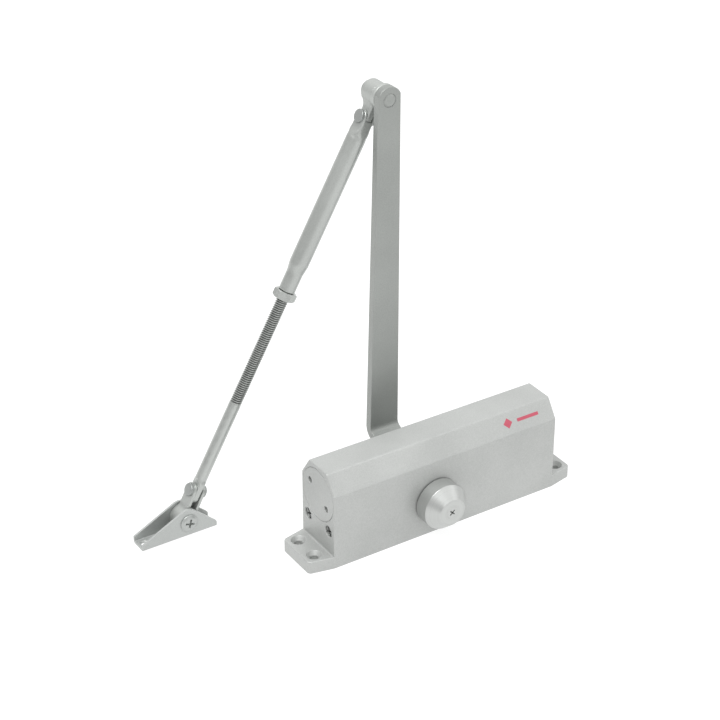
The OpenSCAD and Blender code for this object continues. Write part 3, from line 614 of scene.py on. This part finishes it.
SPACER_THK = (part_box("elbow_spacer")[1].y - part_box("elbow_spacer")[0].y) / MM
SPACER_R = 8.6
spacer_bore = PIN_R + 0.02
spacer_profile = [(SPACER_R, arm_back, 0.8), (SPACER_R, arm_back + SPACER_THK, 1.0),
                  (spacer_bore, arm_back + SPACER_THK, 0), (spacer_bore, arm_back, 0)]
spacer = moved(lathe("elbow_spacer_collar", fillet(spacer_profile), closed=True), BACK)
spacer_paint = turned_metal("silver_paint_on_turned_collar", "#A8ABA8", "#B8BBB8", BACK, roughness=0.42,
                            metallic=0.45, line_mm=0.6, depth=0.2)
finish_piece(spacer, spacer_paint, "pinion", "arm_paint", "elbow_spacer")

# ---- Elbow knuckle ---------------------------------------
# A small steel forging: a barrel that turns on the elbow pin, with a flat tongue drawn down from
# it for the fork. Its flanks keep the soft sweep of the forging die.

TILT = joint_at("forearm_tilt")
drop = (TILT - ELBOW).length
hang = (TILT - ELBOW).normalized()
tilt_axis = hang.cross(Vector((0, 1, 0)))


def axes_at(origin, across, up):
    """A place whose X runs across and whose Z runs up."""
    side = up.cross(across)
    turned = Matrix((across, side, up)).transposed().to_4x4()
    return Matrix.Translation(origin) @ turned


def smooth_step(value, low, high):
    """Goes smoothly from 0 at the low value to 1 at the high one."""
    share = min(max((value - low) / (high - low), 0), 1)
    return share * share * (3 - 2 * share)


AT_ELBOW = axes_at(ELBOW, tilt_axis, -hang)
KNUCKLE_R = 7.5
TONGUE_HALF = 2.2
EYE_HALF = 4.6
EYE_HOLE_R = 2.55
SWEEP_R = 7.0
sweep_x = TONGUE_HALF + SWEEP_R
sweep_z = -math.sqrt((KNUCKLE_R + SWEEP_R) ** 2 - sweep_x ** 2)
touch = math.degrees(math.atan2(-sweep_z, sweep_x))
outline = arc(0, 0, KNUCKLE_R, -touch, 180 + touch, 48)
outline += arc(-sweep_x, sweep_z, SWEEP_R, touch, 0, 12)
outline += [(-TONGUE_HALF, -drop - EYE_HALF), (TONGUE_HALF, -drop - EYE_HALF)]
outline += arc(sweep_x, sweep_z, SWEEP_R, 180, 180 - touch, 12)
knuckle = moved(prism("elbow_knuckle_forging", outline, -KNUCKLE_HALF, KNUCKLE_HALF, edge=1.1, steps=4),
                TO_MINUS_Y)
tongue = bmesh.new()
tongue.from_mesh(knuckle.data)
for z in [-KNUCKLE_R + 1 - k * (drop - KNUCKLE_R + 1) / 12 for k in range(13)]:
    slice_across(tongue, (0, 0, z), (0, 0, 1))
for vert in tongue.verts:
    share = smooth_step(-vert.co.z, KNUCKLE_R - 2.5, KNUCKLE_R + 4.5)
    vert.co.y *= 1 + (EYE_HALF / KNUCKLE_HALF - 1) * share
tongue.to_mesh(knuckle.data)
tongue.free()
end_round = arc(0, -drop, EYE_HALF, 180, 360, 24) + [(9, 0), (9, 9), (-9, 9), (-9, 0)]
eye_keep = moved(prism("eye_keep", end_round, -12, 12), TO_X)
carve(knuckle, [eye_keep], "INTERSECT")
carve(knuckle, [moved(drill("pin_bore", PIN_R + 0.05, steps=72), TO_Y),
                moved(drill("rivet_bore", EYE_HOLE_R), at(0, 0, -drop) @ TO_X)])
moved(knuckle, AT_ELBOW)
barrel_paint = turned_metal("silver_paint_on_turned_steel", "#A3A6A3", "#B4B7B4", BACK, roughness=0.42,
                            metallic=0.45, line_mm=0.6, depth=0.25)
finish_piece(knuckle, barrel_paint, "elbow", "arm_paint", "elbow_knuckle", smooth=40)

# ---- Forearm tube ----------------------------------------
# Steel tube, flattened and slotted at the top to a fork, and swaged down at the bottom, where it
# is tapped for the rod. The cold work leaves soft shoulders under the paint.

slide_axis = Vector(joints["rod_adjust"]["axis"])
AT_FOREARM = axes_at(TILT, tilt_axis, -slide_axis)


def rounded_ring(half_x, half_y, squareness, z, steps=56):
    """A ring that goes from an ellipse, at squareness 2, to a rounded rectangle."""
    ring = []
    for k in range(steps):
        a = 2 * math.pi * (k + 0.5) / steps
        c, s = math.cos(a), math.sin(a)
        ring.append((half_x * math.copysign(abs(c) ** (2 / squareness), c),
                     half_y * math.copysign(abs(s) ** (2 / squareness), s), z))
    return ring


TUBE_R = 6.2
NECK_R = 5.3
EAR_OUT = 4.3
EAR_R = 4.8
TUBE_END = -119.6


def tube_ring(z):
    """The tube's outline at a height: flat ears, then round, then the narrower neck and its rim."""
    if z > 0:
        fall = math.sqrt(max(1 - (z / EAR_R) ** 2, 0))
        return rounded_ring(EAR_OUT - 0.25 * (1 - fall), max(EAR_R * fall, 0.02), 7, z)
    round_share = smooth_step(-z, 6.0, 14.5)
    neck_share = smooth_step(-z, 99.5, 108.0)
    radius = TUBE_R + (NECK_R - TUBE_R) * neck_share
    rim = 0.5 - math.sqrt(max(0.25 - max(TUBE_END + 0.5 - z, 0) ** 2, 0))
    return rounded_ring(EAR_OUT + (radius - EAR_OUT) * round_share - rim,
                        EAR_R + (radius - EAR_R) * round_share - rim,
                        7 * (2 / 7) ** smooth_step(-z, 6.5, 13.0), z)


levels = [EAR_R * math.sin(math.radians(a)) for a in range(90, 0, -10)]
levels += [0, -3] + [-6 - 0.5 * k for k in range(18)] + [-20, -40, -60, -80, -98]
levels += [-99.5 - 0.85 * k for k in range(11)] + [-112, -117]
levels += [TUBE_END + 0.5 * (1 - math.sin(math.radians(a))) for a in (0, 30, 60, 90)]
tube = skin("forearm_tube_swaged", [tube_ring(z) for z in levels])
SLOT_HALF = 2.5
FORK_HOLE_R = 2.52
slot_outline = arc(0, 0, EYE_HALF + 0.45, 180, 360, 32) + [(9, 0), (9, 12), (-9, 12), (-9, 0)]
tube_bore = [(0, TUBE_END - 2), (4.3, TUBE_END - 2), (4.3, TUBE_END), (3.95, TUBE_END + 0.4), (3.95, -100.5),
             (4.75, -99), (4.75, -24), (0, -24)]
carve(tube, [moved(prism("slot", slot_outline, -SLOT_HALF, SLOT_HALF), TO_X),
             moved(drill("rivet_hole", FORK_HOLE_R), TO_X),
             lathe("tube_bore", tube_bore, steps=48)])
moved(tube, AT_FOREARM)
tube_paint = silver_paint("silver_paint_on_steel_tube", "#A7AAA7", "#B7BAB7", metallic=0.6, roughness=0.32)
finish_piece(tube, tube_paint, "forearm", "arm_paint", "forearm_tube", smooth=40)

# ---- Lock nut --------------------------------------------
# A plain zinc-plated steel hexagon nut, chamfered at both faces, that jams against the tube to
# hold the length that was set.


def hex_nut(name, flats, low, high, bore):
    """A chamfered hexagon nut on Z, with two of its corners on X."""
    corner = flats / 2 / math.cos(math.pi / 6)
    hexagon = [(corner * math.cos(k * math.pi / 3), corner * math.sin(k * math.pi / 3)) for k in range(6)]
    nut = prism(name, hexagon, low, high)
    chamfer = (corner - flats / 2 + 0.3) * 0.6
    carve(nut, [lathe("chamfer", [(0, low), (flats / 2 - 0.3, low), (corner + 0.02, low + chamfer),
                                  (corner + 0.02, high - chamfer), (flats / 2 - 0.3, high), (0, high)],
                      steps=96)], "INTERSECT")
    return carve(nut, [lathe("thread_bore", [(0, low - 1), (bore + 1.4, low - 1), (bore, low + 0.4),
                                             (bore, high - 0.4), (bore + 1.4, high + 1), (0, high + 1)],
                             steps=48)])


def plated_metal(name, colour, light_colour, roughness=0.32, metallic=0.95):
    """A plated or moulded surface: one even colour with soft clouds and a fine grain."""
    material, tree, place = open_material(name)
    clouds = noise(tree, place, 5, 4.0)
    gloss = span(tree, clouds, 0.3, 0.7, roughness - 0.05, roughness + 0.07)
    relief = bump(tree, noise(tree, place, 0.5, 1.0), 0.15, 0.05)
    close_material(tree, clouds, (colour, light_colour), metallic, gloss, relief)
    return material


ROD_R = 3.9
NUT_H = 5.5
nut_top = TUBE_END - 0.3
zinc_plate = plated_metal("zinc_plated_steel", "#B4B7B4", "#C6C9C6", metallic=0.9, roughness=0.3)
nut = moved(hex_nut("lock_nut_hexagon", 13, nut_top - NUT_H, nut_top, ROD_R + 0.05),
            AT_FOREARM @ Matrix.Rotation(math.radians(24), 4, "Z"))
finish_piece(nut, zinc_plate, "lock_nut", "bright_steel", "lock_nut", smooth=25)

# ---- Threaded rod ----------------------------------------
# A 5/16-18 rod with a rolled thread, which screws into the tube to set the forearm's length. Its plain
# end is forged flat to an eye for the rivet, and the whole rod is zinc plated.

REACH = (joint_at("yoke_tilt") - TILT).length
THREAD_TOP = TUBE_END + 24.5
THREAD_END = -200.5
FLAT_FROM = 9.4 - REACH
FLAT_TO = 6.2 - REACH
BLADE_HALF = 4.4
BLADE_END = -8.6 - REACH


def node_group(name, sizes):
    """An empty Geometry Nodes tree with named inputs; returns the tree and its group input node."""
    tree = bpy.data.node_groups.new(name, "GeometryNodeTree")
    for label in sizes:
        tree.interface.new_socket(label, in_out="INPUT", socket_type="NodeSocketFloat")
    tree.interface.new_socket("Material", in_out="INPUT", socket_type="NodeSocketMaterial")
    tree.interface.new_socket("Geometry", in_out="OUTPUT", socket_type="NodeSocketGeometry")
    return tree, tree.nodes.new("NodeGroupInput")


def close_group(tree, source, geometry):
    """Ends a tree in real geometry with its material."""
    real = add(tree, "GeometryNodeRealizeInstances", {"Geometry": geometry})
    painted = add(tree, "GeometryNodeSetMaterial", {"Geometry": real.outputs["Geometry"],
                                                    "Material": source.outputs["Material"]})
    add(tree, "NodeGroupOutput", {"Geometry": painted.outputs["Geometry"]})


def grow(name, tree, values):
    """A baked object from a Geometry Nodes tree, with its inputs set by name."""
    piece = bpy.data.objects.new(name, bpy.data.meshes.new(name))
    bpy.context.scene.collection.objects.link(piece)
    nodes = piece.modifiers.new("nodes", "NODES")
    nodes.node_group = tree
    for item in tree.interface.items_tree:
        if item.in_out == "INPUT":
            nodes[item.identifier] = values[item.name]
    bake(piece)
    return piece


# The grid's rows become the crest and root lines of the thread. Each row climbs by one pitch round
# the rod, so that its last point meets the first of the row four above.
thread_tree, sizes = node_group("rolled_thread", ("Radius", "Depth", "Pitch", "Turns", "Sides"))
count = partial(maths, thread_tree)
rows = count("MULTIPLY", sizes.outputs["Turns"], 4.0)
grid = add(thread_tree, "GeometryNodeMeshGrid",
           {"Size X": 1.0, "Size Y": 1.0, "Vertices X": count("ADD", sizes.outputs["Sides"], 1.0),
            "Vertices Y": count("ADD", rows, 1.0)})
position = add(thread_tree, "GeometryNodeInputPosition").outputs["Position"]
spot = add(thread_tree, "ShaderNodeSeparateXYZ", {"Vector": position})
around = count("ADD", spot.outputs["X"], 0.5)
row = count("ROUND", count("MULTIPLY", count("ADD", spot.outputs["Y"], 0.5), rows))
in_root = count("GREATER_THAN", count("FLOORED_MODULO", row, 4.0), 1.5)
radius = count("SUBTRACT", sizes.outputs["Radius"], count("MULTIPLY", in_root, sizes.outputs["Depth"]))
turn = count("MULTIPLY", around, 2 * math.pi)
climb = count("SUBTRACT", around, count("DIVIDE", row, 4.0))
helix = add(thread_tree, "ShaderNodeCombineXYZ", {"X": count("MULTIPLY", radius, count("COSINE", turn)),
                                                  "Y": count("MULTIPLY", radius, count("SINE", turn)),
                                                  "Z": count("MULTIPLY", climb, sizes.outputs["Pitch"])})
shaped = add(thread_tree, "GeometryNodeSetPosition",
             {"Geometry": grid.outputs["Mesh"], "Position": helix.outputs["Vector"]})
seamless = add(thread_tree, "GeometryNodeMergeByDistance",
               {"Geometry": shaped.outputs["Geometry"], "Distance": 0.001})
close_group(thread_tree, sizes, seamless.outputs["Geometry"])

PITCH = 1.411
rolled_zinc = plated_metal("zinc_plated_rolled_thread", "#AFB2AF", "#BFC2BF", metallic=0.75, roughness=0.36)
# The roots of the thread are painted darker than the crests, a painted shade that makes its lines stand out.
tree = rolled_zinc.node_tree
shader = next(node for node in tree.nodes if node.bl_idname == "ShaderNodeBsdfPrincipled")
plate_colour = shader.inputs["Base Color"].links[0].from_socket
reach, along = about_axis(tree, add(tree, "ShaderNodeTexCoord").outputs["Object"], AT_FOREARM)
root_shade_factor = span(tree, reach, 3.1 * MM, 3.75 * MM, 0.38, 1.0)
threaded = maths(tree, "GREATER_THAN", along, THREAD_END * MM)
painted_root_shade = add(tree, "ShaderNodeMix", {"Factor": threaded, "A": plate_colour, "B": root_shade_factor}, data_type="RGBA",
            blend_type="MULTIPLY")
tree.links.new(painted_root_shade.outputs["Result"], shader.inputs["Base Color"])
turns = math.ceil((THREAD_TOP - THREAD_END) / PITCH) + 1
thread_sizes = {"Radius": ROD_R - 0.03, "Depth": 0.85, "Pitch": PITCH, "Turns": turns, "Sides": 32.0,
                "Material": rolled_zinc}
thread = moved(grow("thread", thread_tree, thread_sizes), at(0, 0, THREAD_TOP))


def rod_ring(z):
    """The rod's outline at a height below its thread: round, then forged flat to a round-ended blade."""
    flat = smooth_step(-z, -FLAT_FROM, -FLAT_TO)
    short = max(BLADE_HALF - (z - BLADE_END), 0)
    end = math.sqrt(max(BLADE_HALF ** 2 - short ** 2, 0))
    return rounded_ring(ROD_R + (TONGUE_HALF - ROD_R) * flat, max(ROD_R + (end - ROD_R) * flat, 0.02),
                        2 * 3.2 ** flat, z, steps=40)


levels = [THREAD_END - 0.8, -220, -240] + [FLAT_FROM - 0.32 * k for k in range(11)]
levels += [BLADE_END + BLADE_HALF * (1 - math.sin(math.radians(a))) for a in range(0, 91, 10)]
start = [rounded_ring(3.1, 3.1, 2, THREAD_END + 0.6, steps=40)]
shank = skin("threaded_rod_rolled", start + [rod_ring(z) for z in levels])
carve(shank, [moved(drill("eye_hole", EYE_HOLE_R), at(0, 0, -REACH) @ TO_X)])
both = bmesh.new()
both.from_mesh(shank.data)
both.from_mesh(thread.data)
bmesh.ops.recalc_face_normals(both, faces=both.faces)
both.to_mesh(shank.data)
both.free()
bpy.data.objects.remove(thread, do_unlink=True)
moved(shank, AT_FOREARM)
finish_piece(shank, rolled_zinc, "rod", "zinc_thread", "threaded_rod", smooth=45)

# ---- Rivets ----------------------------------------------
# Two steel rivets with flat turned heads: one through the elbow's fork, and one through the yoke.
# They are plated, not painted, so they show a little darker with a bright rim.

HEAD_R = 4.2
HEAD_H = 1.7
YOKE_EAR_OUT = 4.5
YOKE = joint_at("yoke_tilt")
AT_YOKE = axes_at(YOKE, tilt_axis, -hang)
for name, grip, place, body in (("elbow_tilt_rivet", EAR_OUT, AT_FOREARM, "forearm"),
                                ("rod_end_rivet", YOKE_EAR_OUT, AT_YOKE, "yoke")):
    half_rivet = [(2.5, grip, 0), (HEAD_R, grip, 0.1), (HEAD_R, grip + HEAD_H, 0.45),
                  (1.9, grip + HEAD_H + 0.12, 1), (0, grip + HEAD_H + 0.05, 0)]
    profile = [(r, -h, e) for r, h, e in half_rivet[::-1]] + half_rivet
    rivet = moved(lathe(name + "_turned", fillet(profile, closed=False, steps=4), steps=48), place @ TO_X)
    rivet_metal = turned_metal("turned_plated_steel_" + name, "#969997", "#A8ABA9", place @ TO_X,
                               roughness=0.4, metallic=0.6, line_mm=0.6, depth=0.3)
    finish_piece(rivet, rivet_metal, body, "bright_steel", name, smooth=30)

# ---- Shoe yoke -------------------------------------------
# A steel strap bent round the pivot's sleeve, whose two ends stand up as ears for the rod's eye.
# It is bent from flat strip, so its thickness is even all the way round.

YOKE_LEN = (YOKE - joint_at("shoe_swing")).length
LOOP_R = 8.3
STRAP = 2.1
FLARE_R = 6.0
STRAP_HALF = 4.9
flare_x = YOKE_EAR_OUT + FLARE_R
flare_z = math.sqrt((LOOP_R + FLARE_R) ** 2 - flare_x ** 2) - YOKE_LEN
touch = math.degrees(math.atan2(flare_z + YOKE_LEN, flare_x))


def strap_outline(inward, top):
    """The strap's outline in its own plane, moved inward by a distance."""
    ear = YOKE_EAR_OUT - inward
    outline = [(ear, top), (-ear, top)]
    outline += arc(-flare_x, flare_z, FLARE_R + inward, 0, -touch, 12)
    outline += arc(0, -YOKE_LEN, LOOP_R - inward, 180 - touch, 360 + touch, 48)
    return outline + arc(flare_x, flare_z, FLARE_R + inward, 180 + touch, 180, 12)


yoke = moved(prism("shoe_yoke_strap", strap_outline(0, STRAP_HALF + 0.5), -STRAP_HALF, STRAP_HALF, edge=0.45),
             TO_MINUS_Y)
ears = arc(0, 0, STRAP_HALF, 0, 180, 24) + [(-9, -2), (-9, -40), (9, -40), (9, -2)]
carve(yoke, [moved(prism("ears", ears, -12, 12), TO_X)], "INTERSECT")
carve(yoke, [moved(prism("inside", strap_outline(STRAP, 12), -9, 9), TO_MINUS_Y),
             moved(drill("rivet_hole", FORK_HOLE_R), TO_X)])
moved(yoke, AT_YOKE)
finish_piece(yoke, tube_paint, "yoke", "arm_paint", "shoe_yoke", smooth=40)

# ---- Shoe and its pivot ----------------------------------
# The shoe is pressed from steel sheet: a channel with two pointed walls, screwed to the door
# frame. A cross-head screw with a sleeve and a nut carries the yoke between the walls.

PIVOT = joint_at("shoe_swing")
AT_PIVOT = at(PIVOT.x, PIVOT.y, 0)
SHOE_LOW, SHOE_HIGH = [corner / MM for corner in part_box("shoe_bracket")]
SHOE_LEFT = SHOE_LOW.x - PIVOT.x
SHOE_RIGHT = SHOE_HIGH.x - PIVOT.x
SHOE_HALF = (SHOE_HIGH.y - SHOE_LOW.y) / 2
SHEET = 1.5
PEAK_X = -0.45
PEAK_R = 7.5
PEAK_Z = SHOE_HIGH.z - PEAK_R
SLOPE_LEFT = math.radians(26.5)
SLOPE_RIGHT = math.radians(42)
SHOE_INSIDE = SHOE_HALF - SHEET
channel = fillet([(-SHOE_HALF, 30, 0), (-SHOE_HALF, 0, 2.0), (SHOE_HALF, 0, 2.0), (SHOE_HALF, 30, 0),
                  (SHOE_INSIDE, 30, 0), (SHOE_INSIDE, SHEET, 0.6), (-SHOE_INSIDE, SHEET, 0.6),
                  (-SHOE_INSIDE, 30, 0)])
shoe = moved(prism("shoe_bracket_pressing", channel, SHOE_LEFT, SHOE_RIGHT), TO_X)
left_touch = Vector((PEAK_X - PEAK_R * math.sin(SLOPE_LEFT), PEAK_Z + PEAK_R * math.cos(SLOPE_LEFT)))
right_touch = Vector((PEAK_X + PEAK_R * math.sin(SLOPE_RIGHT), PEAK_Z + PEAK_R * math.cos(SLOPE_RIGHT)))
left_end_z = left_touch.y - (left_touch.x - SHOE_LEFT) * math.tan(SLOPE_LEFT)
right_end_z = right_touch.y - (SHOE_RIGHT - right_touch.x) * math.tan(SLOPE_RIGHT)
wall = [(SHOE_LEFT, -1, 0), (SHOE_RIGHT, -1, 0), (SHOE_RIGHT, right_end_z, 1.8)]
wall = fillet(wall + [(right_touch.x, right_touch.y, 0)])[:-1]
wall += arc(PEAK_X, PEAK_Z, PEAK_R, 90 - math.degrees(SLOPE_RIGHT), 90 + math.degrees(SLOPE_LEFT), 20)
wall += [(SHOE_LEFT, left_end_z)]
carve(shoe, [moved(prism("wall", wall, -9, 9), TO_MINUS_Y)], "INTERSECT")
shoe_hole = [(0, -2), (2.4, -2), (2.4, SHEET - 0.3), (2.75, SHEET), (2.75, SHEET + 2), (0, SHEET + 2)]
PIVOT_HOLE_R = 3.02
pivot_hole = [(0, -SHOE_HALF - 2), (PIVOT_HOLE_R, -SHOE_HALF - 2), (PIVOT_HOLE_R, SHOE_HALF + 2),
              (0, SHOE_HALF + 2)]
SHOE_HOLES = next(mount for mount in frame["record"]["mounts"] if mount["name"] == "shoe_bolts")
hole_mid = SHOE_HOLES["pos_m"][0] / MM - PIVOT.x
hole_half = SHOE_HOLES["dims"]["spacing_x_mm"] / 2
tools = [moved(lathe("shoe_hole", shoe_hole, steps=40), at(x, 0, 0))
         for x in (hole_mid - hole_half, hole_mid + hole_half)]
carve(shoe, tools + [moved(lathe("pivot_hole", pivot_hole, steps=40), at(0, 0, PIVOT.z) @ TO_Y)])
moved(shoe, AT_PIVOT)
rounded = shoe.modifiers.new("burnished_edges", "BEVEL")
rounded.width = 0.3
rounded.segments = 2
rounded.limit_method = "ANGLE"
rounded.angle_limit = math.radians(50)
bake(shoe)
shoe_paint = silver_paint("silver_paint_on_pressed_steel", "#A9ACAA", "#B9BCBA", metallic=0.4, roughness=0.42)
finish_piece(shoe, shoe_paint, "shoe", "arm_paint", "shoe_bracket", smooth=35)

sleeve_profile = [(6, -STRAP_HALF, 0.4), (6, STRAP_HALF, 0.4), (3.05, STRAP_HALF, 0.2),
                  (3.05, -STRAP_HALF, 0.2)]
ON_PIVOT = at(*PIVOT) @ TO_MINUS_Y
pivot_metal = turned_metal("turned_plated_steel_pivot", "#A6A9A7", "#BBBEBC", ON_PIVOT, roughness=0.38,
                           metallic=0.7, line_mm=0.7, depth=0.3)
sleeve = moved(lathe("pivot_sleeve_turned", fillet(sleeve_profile), closed=True), ON_PIVOT)
finish_piece(sleeve, pivot_metal, "yoke", "bright_steel", "pivot_sleeve")

SCREW_HEAD_R = 6.0
SCREW_HEAD_TOP = SHOE_HALF + 1.9
head_profile = [(0, -SHOE_HALF - 4.6, 0), (2.8, -SHOE_HALF - 4.6, 0.2), (3, -SHOE_HALF - 4.2, 0),
                (3, SHOE_HALF, 0), (SCREW_HEAD_R, SHOE_HALF, 0.1), (SCREW_HEAD_R, SHOE_HALF + 0.8, 0.5),
                (4.2, SCREW_HEAD_TOP, 2.0), (0, SCREW_HEAD_TOP, 0)]
pivot_screw = lathe("pivot_screw_cross_head", fillet(head_profile, closed=False), steps=64)
carve(pivot_screw, [moved(cross_recess(6.8, 1.6, -15), at(0, 0, SCREW_HEAD_TOP))])
moved(pivot_screw, ON_PIVOT)
finish_piece(pivot_screw, pivot_metal, "shoe", "bright_steel", "pivot_screw")

pivot_nut = hex_nut("pivot_nut_hexagon", 10, SHOE_HALF, SHOE_HALF + 4, PIVOT_HOLE_R)
moved(pivot_nut, at(*PIVOT) @ TO_Y)
finish_piece(pivot_nut, zinc_plate, "shoe", "bright_steel", "pivot_nut", smooth=25)

# ---- Return spring ---------------------------------------
# Oil-tempered spring wire, coiled in a helix that pushes the piston and so closes the door.

SPRING_LOW, SPRING_HIGH = [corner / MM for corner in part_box("return_spring")]
WIRE_R = 1.6
COIL_R = 12.6
spring_tree, sizes = node_group("coil", ("Coil radius", "Wire radius", "Length", "Turns"))
spiral = add(spring_tree, "GeometryNodeCurveSpiral", {"Resolution": 24, "Rotations": sizes.outputs["Turns"],
                                                      "Start Radius": sizes.outputs["Coil radius"],
                                                      "End Radius": sizes.outputs["Coil radius"],
                                                      "Height": sizes.outputs["Length"]})
wire = add(spring_tree, "GeometryNodeCurvePrimitiveCircle",
           {"Resolution": 10, "Radius": sizes.outputs["Wire radius"]})
coil = add(spring_tree, "GeometryNodeCurveToMesh",
           {"Curve": spiral.outputs["Curve"], "Profile Curve": wire.outputs["Curve"], "Fill Caps": True})
close_group(spring_tree, sizes, coil.outputs["Mesh"])
spring_steel = plated_metal("oil_tempered_spring_steel", "#4A4B4D", "#5A5B5D", roughness=0.4)
spring = grow("return_spring_coil", spring_tree, {"Coil radius": COIL_R, "Wire radius": WIRE_R,
                                                  "Length": SPRING_HIGH.x - SPRING_LOW.x - 2 * WIRE_R,
                                                  "Turns": 8.0, "Material": spring_steel})
moved(spring, at(SPRING_LOW.x + WIRE_R, 0, BORE_Z) @ TO_X)
finish_piece(spring, spring_steel, "body", "dark_steel", "return_spring")

# ---- Pieces inside ---------------------------------------
# The machined pieces keep the shape they are designed with. Each gets the finish of its own making.


def dress(material, *nodes):
    """Gives a material to CAD nodes that stay as they are."""
    for node in nodes:
        for holder in frame["nodes"][node].material_slots:
            holder.material = material


AT_BORE = at(0, 0, BORE_Z) @ TO_X
nitrile = plated_metal("moulded_nitrile_rubber", "#1A1A1B", "#242426", roughness=0.55, metallic=0.0)
dress(nitrile, "plug_o_rings", "valve_o_rings", "pinion_seals", "piston_ring")
bronze = turned_metal("turned_sintered_bronze", "#9A7A46", "#B08F5A", FRONT, roughness=0.36, line_mm=0.6)
dress(bronze, "pinion_bearing_front", "pinion_bearing_back")
machined = turned_metal("machined_alloy_steel", "#6A6C6E", "#808284", FRONT, roughness=0.32, line_mm=0.6)
dress(machined, "pinion_shaft", "bearing_nut_front", "bearing_nut_back")
ground = turned_metal("ground_case_hardened_steel", "#6E7072", "#7E8082", AT_BORE, roughness=0.24,
                      line_mm=0.8, depth=0.15)
dress(ground, "piston")
dress(zinc_plate, "check_ball", "check_ball_retainer", "spring_seat", "arm_washer")
black_oxide = plated_metal("black_oxide_steel", "#2C2D2F", "#3A3B3D", roughness=0.42)
dress(black_oxide, "arm_screw")

# ---- Printed mark ----------------------------------------
# A small red diamond and bar, pad-printed on the front chamfer near the spring's end.

chamfer_place = Vector((0, CHAMFER_Y, CHAMFER_Z)).normalized()
MARK = axes_at(Vector((0, CHAMFER_Y / 2 - BODY_SIDE, BODY_TOP - CHAMFER_Z / 2)), Vector((1, 0, 0)),
               Vector((1, 0, 0)).cross(chamfer_place))
diamond = prism("printed_mark", [(46.5, 0), (50, -3.5), (53.5, 0), (50, 3.5)], -0.02, 0.04)
dash = prism("dash", [(57.5, -1.1), (74.5, -1.1), (74.5, 1.1), (57.5, 1.1)], -0.02, 0.04)
carve(diamond, [dash], "UNION")
moved(diamond, MARK)
ink = plated_metal("red_pad_printing_ink", "#B0485A", "#B95566", roughness=0.5, metallic=0.0)
diamond.data.transform(Matrix.Scale(MM, 4))
diamond.data.materials.clear()
diamond.data.materials.append(ink)
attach(diamond, "body")
